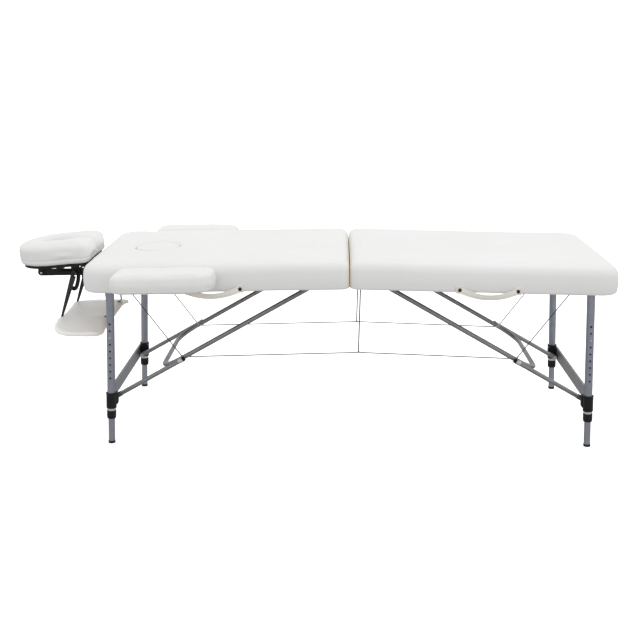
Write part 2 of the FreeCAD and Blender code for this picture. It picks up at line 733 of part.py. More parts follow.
def tilt_rest(shape):
    """Turns a face rest piece about its pivot to the rest angle."""
    moved = shape.copy()
    moved.rotate(REST_PIVOT, ALONG_Y, REST_TILT)
    return moved


def quadrant():
    """Curved slotted plate that the locking bolt slides in; its slot is centred on the pivot."""
    radius = REST_PIVOT.x - REST_BOLT_X
    ys = (BAR_Y[1] + 1.5, BAR_Y[1] + 6)
    plate = arc_band(REST_PIVOT, (radius - 13, radius + 18), (162, 205), ys)
    turn = math.radians(205)
    end_radius = radius + 2.5
    end_x = REST_PIVOT.x + end_radius * math.cos(turn)
    end_z = REST_PIVOT.z + end_radius * math.sin(turn)
    plate = fuse(plate, cross_rod(end_x, end_z, 15.5, *ys))
    slot = arc_band(REST_PIVOT, (radius - 4.3, radius + 4.3), (180, 205), (ys[0] - 1, ys[1] + 1))
    turned = cross_rod(REST_BOLT_X, REST_PIVOT.z, 4.3, ys[0] - 1, ys[1] + 1)
    return plate, slot.fuse(turned)


def make_face_rest():
    cushion = rest_outline(0, CUSHION_Z, 27, 16)
    plate = rest_outline(14, PLATE_Z, 0, 0)
    pin = cross_rod(REST_PIVOT.x, REST_PIVOT.z, 4.0, BAR_Y[0] - 2, BAR_Y[1] + 8)
    lug_y = (BAR_Y[1] + 1.5, BAR_Y[1] + 6)
    lug = fuse(
        box((REST_PIVOT.x - 10, REST_PIVOT.x + 10), lug_y, (REST_PIVOT.z, PLATE_Z[0] + 1)),
        cross_rod(REST_PIVOT.x, REST_PIVOT.z, 10, *lug_y),
    )
    slotted, slot = quadrant()
    level_slotted = slotted.copy()
    level_slotted.rotate(REST_PIVOT, ALONG_Y, -REST_TILT)
    level_slot = slot.copy()
    level_slot.rotate(REST_PIVOT, ALONG_Y, -REST_TILT)
    above = box((900, 1300), (-200, 200), (PLATE_Z[0] + 2, 800))
    level_slotted = level_slotted.cut(above).cut(level_slot)
    platform = fuse(plate, *both(lug), *both(level_slotted)).cut(both(pin))
    save("headrest_cushion", "head", [tilt_rest(cushion)])
    save("headrest_platform", "head", [tilt_rest(solid) for solid in [platform] + both(pin)])
    make_rest_bars()
    make_rest_lever()


def make_rest_bars():
    """Side bars with dowels, a tie between them and the locking bolt."""
    bar = fuse(
        box(BAR_X, BAR_Y, BAR_Z),
        cross_rod(BAR_X[1], REST_PIVOT.z, (BAR_Z[1] - BAR_Z[0]) / 2, *BAR_Y),
        box((938, 988), (REST_DOWEL_Y - 11, REST_DOWEL_Y + 11), BAR_Z),
    )
    dowel_start, dowel_end = (Vec(x, REST_DOWEL_Y, REST_PIVOT.z) for x in REST_DOWEL_X)
    dowel = rod(dowel_start, dowel_end, DOWEL_R)
    tie = box((1084, 1104), (-BAR_Y[0], BAR_Y[0]), (591, 599))
    bolt = cross_rod(REST_BOLT_X, REST_PIVOT.z, 4.0, -REST_BOLT_HALF, REST_BOLT_HALF)
    pivot_hole = cross_rod(REST_PIVOT.x, REST_PIVOT.z, 4.0 + RUNNING, 60, 100)
    frame = fuse(tie, *both(bar)).cut(both(dowel) + both(pivot_hole) + [bolt])
    save("headrest_bars", "head", [frame, bolt] + both(dowel))


def make_rest_lever():
    """Cam lever on the locking bolt, lying along the bar when locked."""
    ys = (-BAR_Y[1] - 13, -BAR_Y[1] - 7)
    arm = box((REST_BOLT_X, REST_BOLT_X + 58), ys, (REST_PIVOT.z - 6, REST_PIVOT.z + 6))
    tip = cross_rod(REST_BOLT_X + 58, REST_PIVOT.z, 6, *ys)
    boss = cross_rod(REST_BOLT_X, REST_PIVOT.z, 10, *ys)
    hole = cross_rod(REST_BOLT_X, REST_PIVOT.z, 4.0 + RUNNING, ys[0] - 1, ys[1] + 1)
    save("headrest_lever", "head", [fuse(arm, tip, boss).cut(hole)])


# Arm shelf


def webbing(points, width, ys):
    """A flat strap that follows points in the XZ plane, between two Y values."""
    pieces = []
    for start, end in zip(points, points[1:]):
        along = Vec(end[0] - start[0], 0, end[1] - start[1])
        side = Vec(-along.z, 0, along.x).normalize() * (width / 2)
        low = Vec(start[0], ys[0], start[1])
        high = Vec(end[0], ys[0], end[1])
        corners = [low - side, high - side, high + side, low + side, low - side]
        pieces.append(Part.Face(Part.makePolygon(corners)).extrude(Vec(0, ys[1] - ys[0], 0)))
    for x, z in points[1:-1]:
        pieces.append(cross_rod(x, z, width / 2, *ys))
    return fuse(*pieces) if len(pieces) > 1 else pieces[0]


def make_arm_shelf():
    """Padded panel on four straps, two from the bolt and two from under the table's end."""
    panel = rounded_block(SLING_X, (-SLING_HALF, SLING_HALF), SLING_Z, (30.0, 85.0), 6, 6)
    save("arm_sling", "head", [panel])
    on_panel = SLING_Z[1] + STRAP_THICK / 2 + 0.3
    loop_start, loop_end = (Vec(REST_BOLT_X, y, REST_PIVOT.z) for y in STRAP_Y)
    loop = rod(loop_start, loop_end, 6.0)
    bolt_room = rod(loop_start - ALONG_Y, loop_end + ALONG_Y, 4.3)
    middle = (STRAP_Y[0] + STRAP_Y[1]) / 2
    thin = (middle - STRAP_THICK / 2, middle + STRAP_THICK / 2)
    front_end = (SLING_X[1] - 14, on_panel + 1)
    front = webbing([(REST_BOLT_X, REST_PIVOT.z), front_end], STRAP_WIDE, thin)
    above_panel = box((0, 1500), (0, 200), (SLING_Z[1] + 0.3, 800))
    front = fuse(loop, front).cut(bolt_room).common(above_panel)
    rear_points = [(918, 576.5), (900, 576.5), (SLING_X[0] + 6, on_panel), (SLING_X[0] + 28, on_panel)]
    rear = webbing(rear_points, STRAP_THICK, STRAP_Y)
    save("arm_sling_straps", "head", both(front) + both(rear))


def main():
    os.makedirs("parts", exist_ok=True)
    for half in ("head", "foot"):
        make_half(half)
        make_hinge_leaves(half)
        make_brackets(half)
        make_fasteners(half)
        make_handle(half)
        make_legs(half)
        make_bow(half)
        make_struts(half)
        make_cables(half)
    make_drop_wires()
    make_face_plug()
    make_armrests()
    make_face_rest()
    make_arm_shelf()


main()
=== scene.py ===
import math

import bmesh
import bpy
import numpy as np
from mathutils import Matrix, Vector, noise
from mathutils.bvhtree import BVHTree


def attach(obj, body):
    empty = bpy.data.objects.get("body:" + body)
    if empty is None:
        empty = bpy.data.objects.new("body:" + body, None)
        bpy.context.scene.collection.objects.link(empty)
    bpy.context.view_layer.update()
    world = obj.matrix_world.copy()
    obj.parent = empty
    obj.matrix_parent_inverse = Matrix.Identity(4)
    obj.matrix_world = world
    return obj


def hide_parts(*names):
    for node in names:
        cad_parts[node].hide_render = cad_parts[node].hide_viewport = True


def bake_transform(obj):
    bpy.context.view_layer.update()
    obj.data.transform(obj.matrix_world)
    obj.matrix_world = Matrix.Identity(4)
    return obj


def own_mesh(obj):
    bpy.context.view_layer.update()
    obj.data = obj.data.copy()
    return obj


# Looks of a portable two-section massage table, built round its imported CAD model.
# Soft pieces are drawn in millimetres in the frame of their half of the table: X runs outwards from
# the fold line, -Y is the handle side. placed() takes them to the row frame, in metres.

MM = 0.001
FOLD_X = 152.49
CAMBER = math.radians(1.17)
UNDER_Z = 580.0
TOP_Z = 676.0
DECK_Z = 624.0
HALF_WIDTH = 350.0
HALF_LENGTH = 930.0
HALVES = ("head", "foot")

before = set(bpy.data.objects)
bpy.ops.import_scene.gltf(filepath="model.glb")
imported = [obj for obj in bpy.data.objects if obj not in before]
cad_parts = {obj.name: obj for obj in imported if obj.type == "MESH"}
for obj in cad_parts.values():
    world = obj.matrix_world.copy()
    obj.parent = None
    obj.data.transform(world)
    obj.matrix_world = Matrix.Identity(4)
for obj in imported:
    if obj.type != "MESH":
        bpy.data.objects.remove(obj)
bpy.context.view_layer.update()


# Frames and meshes


def placed(half, points):
    """Row-frame metres of points in millimetres, given in the frame of one half, or in place."""
    p = np.asarray(points, float).reshape(-1, 3)
    if half is None:
        return p * MM
    rise = p[:, 2] - UNDER_Z
    along = p[:, 0] * math.cos(CAMBER) + rise * math.sin(CAMBER)
    up = UNDER_Z - p[:, 0] * math.sin(CAMBER) + rise * math.cos(CAMBER)
    sign = -1 if half == "head" else 1
    return np.column_stack([FOLD_X + sign * along, p[:, 1], up]) * MM


def coords(obj):
    flat = np.zeros(len(obj.data.vertices) * 3)
    obj.data.vertices.foreach_get("co", flat)
    return flat.reshape(-1, 3)


def set_coords(obj, points):
    obj.data.vertices.foreach_set("co", np.asarray(points, float).ravel())
    obj.data.update()


def normals(obj):
    flat = np.zeros(len(obj.data.vertices) * 3)
    obj.data.vertex_normals.foreach_get("vector", flat)
    return flat.reshape(-1, 3)


def in_scene(name, data):
    """A new object in the scene."""
    obj = bpy.data.objects.new(name, data)
    bpy.context.scene.collection.objects.link(obj)
    return obj


def piece(name, points, faces, material, half=None):
    """A new smooth-shaded mesh object, with its doubled points joined and its faces turned outwards."""
    mesh = bpy.data.meshes.new(name)
    mesh.from_pydata(placed(half, points).tolist(), [], faces)
    bm = bmesh.new()
    bm.from_mesh(mesh)
    bmesh.ops.remove_doubles(bm, verts=bm.verts, dist=1e-6)
    bmesh.ops.recalc_face_normals(bm, faces=bm.faces)
    bm.to_mesh(mesh)
    bm.free()
    mesh.polygons.foreach_set("use_smooth", [True] * len(mesh.polygons))
    mesh.materials.append(material)
    return in_scene(name, mesh)


def subdivided(obj):
    """The object with its mesh subdivided once, for good."""
    modifier = obj.modifiers.new("smooth", "SUBSURF")
    modifier.levels = modifier.render_levels = 1
    return applied(obj, modifier)


def applied(obj, modifier):
    evaluated = obj.evaluated_get(bpy.context.evaluated_depsgraph_get())
    mesh = bpy.data.meshes.new_from_object(evaluated)
    obj.modifiers.remove(modifier)
    obj.data = mesh
    return obj


class Shell:
    """Points and quads of a surface under construction."""

    def __init__(self):
        self.points = []
        self.faces = []

    def add(self, points):
        start = len(self.points)
        self.points += [tuple(p) for p in points]
        return list(range(start, len(self.points)))

    def bridge(self, first, second):
        """Joins two closed loops with quads."""
        for i in range(len(first)):
            j = (i + 1) % len(first)
            self.faces.append((first[i], first[j], second[j], second[i]))

    def tube(self, loops, capped=True):
        """Joins loops in turn, with flat faces over both ends if capped."""
        for first, second in zip(loops, loops[1:]):
            self.bridge(first, second)
        if capped:
            self.faces.append(tuple(loops[0]))
            self.faces.append(tuple(loops[-1]))

    def fan(self, loop, centre):
        middle = self.add([centre])[0]
        for i in range(len(loop)):
            self.faces.append((loop[i], loop[(i + 1) % len(loop)], middle))


def edge_stops(low, high, radius, step):
    """Places along one axis: even in the middle, spaced along the rounding at both ends."""
    turns = np.radians([0, 15, 30, 45, 60, 75, 90])
    first = low + radius * (1 - np.cos(turns))
    last = high - radius * (1 - np.cos(turns[::-1]))
    count = max(2, round((last[0] - first[-1]) / step))
    middle = np.linspace(first[-1], last[0], count + 1)[1:-1]
    return np.concatenate([first, middle, last])


class Plan:
    """A rectangle with rounded corners: one radius at its low X end, one or two at its high end."""

    def __init__(self, xs, ys, corner_low, *corners_high):
        self.cx, self.cy = (xs[0] + xs[1]) / 2, (ys[0] + ys[1]) / 2
        self.hx, self.hy = (xs[1] - xs[0]) / 2, (ys[1] - ys[0]) / 2
        self.corner_low, self.corners_high = corner_low, (corners_high[0], corners_high[-1])

    def inset(self, x, y):
        """How far a point of the square grid lies inside the outline."""
        return np.minimum(self.hx - abs(x - self.cx), self.hy - abs(y - self.cy))

    def bend(self, x, y):
        """Moves grid points so that the corners are round; also gives the outward direction."""
        sx, sy = np.where(x < self.cx, -1.0, 1.0), np.where(y < self.cy, -1.0, 1.0)
        radius = np.where(x < self.cx, self.corner_low, np.where(y < self.cy, *self.corners_high))
        a = abs(x - self.cx) - (self.hx - radius)
        b = abs(y - self.cy) - (self.hy - radius)
        corner = (a > 0) & (b > 0)
        big = np.maximum(np.maximum(a, b), 1e-9)
        small = np.clip(np.minimum(a, b) / big, 0, 1) * math.pi / 4
        turn = np.where(a >= b, small, math.pi / 2 - small)
        nx = np.where(corner, np.cos(turn), np.where(self.hx - abs(x - self.cx) < 1e-6, 1.0, 0.0))
        ny = np.where(corner, np.sin(turn), np.where(self.hy - abs(y - self.cy) < 1e-6, 1.0, 0.0))
        new_x = np.where(corner, self.cx + sx * (self.hx - radius + big * np.cos(turn)), x)
        new_y = np.where(corner, self.cy + sy * (self.hy - radius + big * np.sin(turn)), y)
        return new_x, new_y, nx * sx, ny * sy


def rounding(inset, radius):
    """How far a rounded edge lies below its flat face at a distance inside the outline."""
    d = np.clip(inset, 0, radius)
    return radius - np.sqrt(np.maximum(radius**2 - (radius - d) ** 2, 0))


def ring_order(i_range, j_range):
    """Grid places round the edge of a block of cells, in order."""
    i0, i1 = i_range
    j0, j1 = j_range
    order = [(i, j0) for i in range(i0, i1 + 1)]
    order += [(i1, j) for j in range(j0 + 1, j1 + 1)]
    order += [(i, j1) for i in range(i1 - 1, i0 - 1, -1)]
    order += [(i0, j) for j in range(j1 - 1, j0, -1)]
    return order


class Slab:
    """A padded block: rounded plan, rounded top and bottom edges and a bulging side."""

    def __init__(
        self, xs, ys, corners, zs, top_round, bottom_round, step, crown=0.0, bulge=0.0, drop=None
    ):
        self.plan = Plan(xs, ys, *corners)
        self.zs, self.rounds, self.crown, self.bulge = zs, (top_round, bottom_round), crown, bulge
        self.drop = drop or top_round  # height of the rounded top edge
        self.x = edge_stops(*xs, top_round, step)
        self.y = edge_stops(*ys, top_round, step)
        self.shell = Shell()

    def grid(self, top, skip=None):
        """The top or bottom face as a grid; gives the indices and the loop round its edge."""
        gx, gy = np.meshgrid(self.x, self.y, indexing="ij")
        inset = self.plan.inset(gx, gy)
        px, py, _, _ = self.plan.bend(gx, gy)
        u = (gx - self.plan.cx) / self.plan.hx
        v = (gy - self.plan.cy) / self.plan.hy
        swell = self.crown * (1 - u**4) * (1 - v**4)
        if top:
            z = self.zs[1] - rounding(inset, self.rounds[0]) * self.drop / self.rounds[0] + swell
        else:
            z = self.zs[0] + rounding(inset, self.rounds[1])
        index = np.array(self.shell.add(np.column_stack([px.ravel(), py.ravel(), z.ravel()])))
        index = index.reshape(gx.shape)
        nx, ny = gx.shape
        for i in range(nx - 1):
            for j in range(ny - 1):
                if skip and skip[0] <= i < skip[1] and skip[2] <= j < skip[3]:
                    continue
                quad = (index[i, j], index[i + 1, j], index[i + 1, j + 1], index[i, j + 1])
                self.shell.faces.append(tuple(int(q) for q in quad))
        loop = [int(index[i, j]) for i, j in ring_order((0, nx - 1), (0, ny - 1))]
        return index, loop

    def edge(self):
        """Outline points and outward directions, in the order of the edge loops."""
        order = ring_order((0, len(self.x) - 1), (0, len(self.y) - 1))
        x = np.array([self.x[i] for i, _ in order])
        y = np.array([self.y[j] for _, j in order])
        px, py, nx, ny = self.plan.bend(x, y)
        length = np.maximum(np.hypot(nx, ny), 1e-9)
        return px, py, nx / length, ny / length

    def ring(self, out, z):
        px, py, nx, ny = self.edge()
        return self.shell.add(np.column_stack([px + nx * out, py + ny * out, np.full(len(px), z)]))

    def side(self, loop, rings):
        """Rings of points down the side, from a loop."""
        low, high = self.zs[0] + self.rounds[1], self.zs[1] - self.drop
        for k in range(1, rings):
            share = k / rings
            z = high + (low - high) * share
            new = self.ring(self.bulge * math.sin(math.pi * share), z)
            self.shell.bridge(loop, new)
            loop = new
        return loop

    def close(self, rings):
        """The whole block: top, side and bottom."""
        _, top = self.grid(True)
        loop = self.side(top, rings)
        _, bottom = self.grid(False)
        self.shell.bridge(loop, bottom)


def sweep(name, path, section, material, half=None, up=(0, 0, 1), closed_path=False):
    """A section (pairs: across, up) carried along a path; open paths get flat ends."""
    pts = [Vector(p) for p in path]
    shell = Shell()
    loops = []
    count = len(pts)
    for k, p in enumerate(pts):
        before = pts[k - 1] if k or closed_path else pts[0]
        after = pts[(k + 1) % count] if k < count - 1 or closed_path else pts[-1]
        along = (after - before).normalized()
        reference = Vector(up[k]) if isinstance(up, list) else Vector(up)
        across = along.cross(reference).normalized()
        over = across.cross(along).normalized()
        loops.append(shell.add([p + across * a + over * b for a, b in section]))
    shell.tube(loops, capped=not closed_path)
    if closed_path:
        shell.bridge(loops[-1], loops[0])
    return piece(name, shell.points, shell.faces, material, half)


def circle(radius, sides=10):
    return [
        (radius * math.cos(2 * math.pi * k / sides), radius * math.sin(2 * math.pi * k / sides))
        for k in range(sides)
    ]


def lathe(name, profile, material, base, axis, half=None, sides=24):
    """Turns a profile (pairs: radius, distance along the axis) round an axis."""
    z = Vector(axis).normalized()
    x = z.orthogonal().normalized()
    y = z.cross(x)
    shell = Shell()
    loops = []
    for radius, distance in profile:
        loops.append(
            shell.add(
                Vector(base) + z * distance + (x * math.cos(t) + y * math.sin(t)) * max(radius, 0.01)
                for t in (2 * math.pi * k / sides for k in range(sides))
            )
        )
    shell.tube(loops)
    return piece(name, shell.points, shell.faces, material, half)


def joined(name, objects):
    """One object from several, keeping their materials."""
    bm = bmesh.new()
    materials = []
    for obj in objects:
        mesh = obj.data
        start = len(bm.faces)
        bm.from_mesh(mesh)
        bm.faces.ensure_lookup_table()
        material = mesh.materials[0]
        if material not in materials:
            materials.append(material)
        for face in bm.faces[start:]:
            face.material_index = materials.index(material)
    merged = bpy.data.meshes.new(name)
    bm.to_mesh(merged)
    bm.free()
    for material in materials:
        merged.materials.append(material)
    for obj in objects:
        bpy.data.objects.remove(obj)
    return in_scene(name, merged)


CLOTH_FRAMES, CLOTH_STIFFNESS = 20, 15.0


def inflate(obj, pressure, cap, pinned=None):
    """Swells a padded piece outward by cloth simulation, by up to the cap in millimetres."""
    rest = coords(obj)
    cloth = obj.modifiers.new("cloth", "CLOTH")
    settings = cloth.settings
    settings.quality = 5
    settings.use_pressure = True
    settings.uniform_pressure_force = pressure
    settings.tension_stiffness = settings.compression_stiffness = CLOTH_STIFFNESS
    settings.effector_weights.gravity = 0
    if pinned is not None:
        group = obj.vertex_groups.new(name="pinned")
        group.add([int(i) for i in pinned], 1.0, "REPLACE")
        settings.vertex_group_mass = "pinned"
    cloth.point_cache.frame_start = 1
    cloth.point_cache.frame_end = CLOTH_FRAMES
    for number in range(1, CLOTH_FRAMES + 1):
        bpy.context.scene.frame_set(number)
    evaluated = obj.evaluated_get(bpy.context.evaluated_depsgraph_get())
    moved = np.zeros(len(evaluated.data.vertices) * 3)
    evaluated.data.vertices.foreach_get("co", moved)
    obj.modifiers.remove(cloth)
    bpy.context.scene.frame_set(1)
    out = normals(obj)
    away = np.clip(((moved.reshape(-1, 3) - rest) * out).sum(axis=1), 0, cap * MM)
    set_coords(obj, rest + out * away[:, None])
    return obj


def ripple(obj, amplitude, size, seed, stretch=(1, 1, 1)):
    """Pushes each point along its normal by smooth noise, in millimetres."""
    points, out = coords(obj), normals(obj)
    offset = Vector((seed * 7.3, seed * 3.1, seed * 5.7))
    scale = np.array(stretch) * 1000 / size
    push = np.array([noise.fractal(Vector(p * scale) + offset, 0.6, 2.0, 3) for p in points])
    set_coords(obj, points + out * (push * amplitude * MM)[:, None])
    return obj


# Materials


def material(name, colour, roughness, metallic=0.0, coat=0.0, sheen=0.0):
    """A Principled material with its even values on the sockets; gives the material and its nodes."""
    made = bpy.data.materials.new(name)
    made.use_nodes = True
    tree = made.node_tree
    shader = tree.nodes["Principled BSDF"]
    shader.inputs["Base Color"].default_value = (*colour, 1)
    shader.inputs["Roughness"].default_value = roughness
    shader.inputs["Metallic"].default_value = metallic
    shader.inputs["Coat Weight"].default_value = coat
    shader.inputs["Sheen Weight"].default_value = sheen
    made.diffuse_color = (*colour, 1)
    return made, tree, shader


def node(tree, kind, inputs=None, **settings):
    made = tree.nodes.new("ShaderNode" + kind)
    for key, value in settings.items():
        setattr(made, key, value)
    for key, value in (inputs or {}).items():
        made.inputs[key].default_value = value
    return made


def place_coords(tree, stretch=(1, 1, 1)):
    """Metres on the piece, stretched for grain or brushing."""
    source = node(tree, "TexCoord")
    mapping = node(tree, "Mapping", {"Scale": stretch})
    tree.links.new(source.outputs["Object"], mapping.inputs["Vector"])
    return mapping.outputs["Vector"]


def noise_at(tree, vector, scale, detail=3.0, roughness=0.5):
    made = node(tree, "TexNoise", {"Scale": scale, "Detail": detail, "Roughness": roughness})
    tree.links.new(vector, made.inputs["Vector"])
    return made.outputs["Fac"]


def between(tree, source, low, high, to_low, to_high):
    made = node(tree, "MapRange")
    for key, value in zip(("From Min", "From Max", "To Min", "To Max"), (low, high, to_low, to_high)):
        made.inputs[key].default_value = value
    tree.links.new(source, made.inputs["Value"])
    return made.outputs["Result"]


def tint(tree, factor, first, second):
    """A colour between two, by a factor."""
    made = node(tree, "Mix", data_type="RGBA")
    made.inputs["A"].default_value = (*first, 1)
    made.inputs["B"].default_value = (*second, 1)
    tree.links.new(factor, made.inputs["Factor"])
    return made.outputs["Result"]


def bump(tree, shader, layers):
    """Height layers (socket, strength, depth in metres) chained into the shader's normal."""
    last = None
    for height, strength, depth in layers:
        made = node(tree, "Bump", {"Strength": strength, "Distance": depth})
        tree.links.new(height, made.inputs["Height"])
        if last:
            tree.links.new(last, made.inputs["Normal"])
        last = made.outputs["Normal"]
    tree.links.new(last, shader.inputs["Normal"])


def leatherette(name, colour, warm, roughness=0.42, grain=900.0):
    """Coated upholstery cloth: pebble grain, faint creasing and a slight drift of colour."""
    made, tree, shader = material(name, colour, roughness, coat=0.08)
    shader.inputs["Coat Roughness"].default_value = 0.35
    place = place_coords(tree)
    drift = between(tree, noise_at(tree, place, 3.5, 2.0), 0.35, 0.65, 0.0, 1.0)
    tree.links.new(tint(tree, drift, colour, warm), shader.inputs["Base Color"])
    cells = node(tree, "TexVoronoi", {"Scale": grain, "Randomness": 0.9}, feature="SMOOTH_F1")
    tree.links.new(place, cells.inputs["Vector"])
    fine = noise_at(tree, place, 2400.0, 2.0)
    slow = noise_at(tree, place, 22.0, 3.0)
    gloss = between(tree, noise_at(tree, place, 60.0, 3.0), 0.3, 0.7, roughness - 0.05, roughness + 0.07)
    tree.links.new(gloss, shader.inputs["Roughness"])
    bump(
        tree,
        shader,
        [(slow, 0.25, 0.0012), (cells.outputs["Distance"], 0.32, 0.00025), (fine, 0.2, 0.0001)],
    )
    return made


def brushed_metal(name, colour, second, roughness, along, streak=0.5):
    """Metal with fine streaks along one axis and a soft mottle."""
    made, tree, shader = material(name, colour, roughness, metallic=1.0)
    squeeze = tuple(0.03 if i == "XYZ".index(along) else 1.0 for i in range(3))
    streaks = noise_at(tree, place_coords(tree, squeeze), 1400.0, 3.0)
    mottle = noise_at(tree, place_coords(tree), 35.0, 4.0)
    mix = between(tree, mottle, 0.3, 0.7, 0, 1)
    tree.links.new(tint(tree, mix, colour, second), shader.inputs["Base Color"])
    low, high = roughness - 0.06, roughness + 0.1
    tree.links.new(between(tree, streaks, 0.3, 0.7, low, high), shader.inputs["Roughness"])
    bump(tree, shader, [(streaks, streak, 0.00004), (mottle, 0.1, 0.0003)])
    return made


def moulded(name, colour, second, roughness, texture=1300.0, depth=0.00012, metallic=0.0):
    """Moulded or coated surface: fine texture, slight wear and uneven gloss."""
    made, tree, shader = material(name, colour, roughness, metallic=metallic)
    place = place_coords(tree)
    worn = between(tree, noise_at(tree, place, 45.0, 5.0), 0.45, 0.75, 0.0, 1.0)
    tree.links.new(tint(tree, worn, colour, second), shader.inputs["Base Color"])
    shader.inputs["Specular IOR Level"].default_value = 0.22
    gloss = between(tree, noise_at(tree, place, 120.0, 3.0), 0.3, 0.7, roughness - 0.07, roughness + 0.1)
    tree.links.new(gloss, shader.inputs["Roughness"])
    bump(tree, shader, [(noise_at(tree, place, texture, 2.0), 0.4, depth)])
    return made


def woven(name, colour, second, pitch):
    """Plain weave: two sets of ribs across each other."""
    made, tree, shader = material(name, colour, 0.7, sheen=0.25)
    shader.inputs["Sheen Roughness"].default_value = 0.5
    place = place_coords(tree)
    ribs = []
    for direction in ("X", "Z"):
        size = {"Scale": 0.314 / pitch, "Distortion": 0.6}
        wave = node(tree, "TexWave", size, bands_direction=direction)
        tree.links.new(place, wave.inputs["Vector"])
        ribs.append(wave.outputs["Fac"])
    both = node(tree, "Math", operation="MULTIPLY")
    tree.links.new(ribs[0], both.inputs[0])
    tree.links.new(ribs[1], both.inputs[1])
    tree.links.new(tint(tree, both.outputs["Value"], colour, second), shader.inputs["Base Color"])
    fuzz = noise_at(tree, place, 900.0)
    bump(tree, shader, [(both.outputs["Value"], 0.5, 0.0004), (fuzz, 0.2, 0.0001)])
    return made


def plywood(name):
    """Pale beech ply: long grain on the faces, thin plies on the edges."""
    light, dark = (0.62, 0.44, 0.27), (0.47, 0.31, 0.17)
    made, tree, shader = material(name, light, 0.5, coat=0.15)
    grain = noise_at(tree, place_coords(tree, (1.5, 28, 28)), 14.0, 6.0, 0.65)
    plies = node(tree, "TexWave", {"Scale": 210.0, "Distortion": 0.4}, bands_direction="Z")
    tree.links.new(place_coords(tree), plies.inputs["Vector"])
    both = node(tree, "Mix", {"Factor": 0.25})
    tree.links.new(grain, both.inputs["A"])
    tree.links.new(plies.outputs["Fac"], both.inputs["B"])
    mix = between(tree, both.outputs["Result"], 0.3, 0.7, 0, 1)
    tree.links.new(tint(tree, mix, light, dark), shader.inputs["Base Color"])
    tree.links.new(between(tree, grain, 0.3, 0.7, 0.42, 0.6), shader.inputs["Roughness"])
    bump(tree, shader, [(grain, 0.3, 0.0003)])
    return made


def wire_rope(name):
    """Laid steel wire: fine diagonal strands."""
    made, tree, shader = material(name, (0.36, 0.36, 0.37), 0.34, metallic=1.0)
    strands = node(tree, "TexWave", {"Scale": 260.0, "Distortion": 0.3}, bands_direction="DIAGONAL")
    tree.links.new(place_coords(tree), strands.inputs["Vector"])
    fac = strands.outputs["Fac"]
    shades = tint(tree, fac, (0.055, 0.055, 0.058), (0.15, 0.15, 0.153))
    tree.links.new(shades, shader.inputs["Base Color"])
    bump(tree, shader, [(fac, 0.6, 0.0003)])
    return made


WHITE = leatherette("white_leatherette", (0.785, 0.785, 0.78), (0.77, 0.765, 0.75))
# The shelf's leatherette is the white cover's made much brighter: painted light making up for the shade
# under the face rest, with a slightly warmer tone of its own.
SHELF = leatherette("shelf_leatherette", (0.91, 0.90, 0.885), (0.885, 0.875, 0.855))
CREAM = leatherette("cream_leatherette", (0.82, 0.79, 0.74), (0.79, 0.75, 0.69), 0.38)
PIPING = leatherette("piping_leatherette", (0.80, 0.72, 0.56), (0.74, 0.65, 0.48), 0.38, 1500.0)
THREAD = woven("sewing_thread", (0.72, 0.68, 0.6), (0.8, 0.77, 0.7), 0.0004)
ANODISED = brushed_metal("anodised_aluminium", (0.288, 0.306, 0.356), (0.322, 0.34, 0.386), 0.40, "Z", 0.3)
BAR_METAL = brushed_metal("mill_aluminium", (0.235, 0.242, 0.26), (0.28, 0.285, 0.30), 0.42, "X", 0.3)
ZINC = brushed_metal("zinc_steel", (0.55, 0.55, 0.56), (0.66, 0.66, 0.66), 0.3, "Y", 0.4)
CABLE = wire_rope("steel_wire_rope")
# black plastic of the collars, nuts, caps and lever; the same material also paints the shade inside the leg
# holes
BLACK_PLASTIC_AND_HOLE_SHADE = moulded("black_plastic", (0.006, 0.006, 0.007), (0.012, 0.012, 0.014), 0.42)
BLACK_METAL = moulded("black_powder_coat", (0.010, 0.010, 0.011), (0.018, 0.018, 0.019), 0.4, 700.0, 0.0002)
RUBBER = moulded("black_rubber", (0.016, 0.016, 0.016), (0.03, 0.03, 0.028), 0.75, 500.0, 0.0003)
SCREW = moulded("dark_bronze_screw", (0.05, 0.03, 0.02), (0.09, 0.055, 0.03), 0.3, 900.0, 0.0001, 0.9)
WEBBING = woven("black_webbing", (0.008, 0.008, 0.009), (0.022, 0.022, 0.024), 0.0016)
PLY = plywood("beech_ply")

node_materials = {}
for half in HALVES:
    for part, look in (
        ("deck", PLY), ("rails", PLY), ("hinge_leaves", ZINC), ("brackets", ZINC), ("fasteners", ZINC),
        ("leg_tubes", ANODISED), ("leg_collars", BLACK_PLASTIC_AND_HOLE_SHADE), ("leg_fittings", ZINC),
        ("leg_crossbar", BAR_METAL), ("bow", BAR_METAL), ("struts", BAR_METAL),
    ):
        node_materials[half + "_" + part] = look
    for side in ("near", "far"):
        for part, look in (
            ("lock_nut", BLACK_PLASTIC_AND_HOLE_SHADE), ("inner_tube", ANODISED), ("spring_button", ZINC), ("foot", RUBBER),
        ):
            node_materials[half + "_" + side + "_" + part] = look
for part, look in (
    ("armrest_near_base", PLY), ("armrest_far_base", PLY), ("headrest_bars", BLACK_METAL),
    ("headrest_platform", BLACK_METAL), ("headrest_lever", BLACK_PLASTIC_AND_HOLE_SHADE),
):
    node_materials[part] = look
for name, look in node_materials.items():
    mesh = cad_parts[name].data
    mesh.materials.clear()
    mesh.materials.append(look)


# Seams, welts and stitches


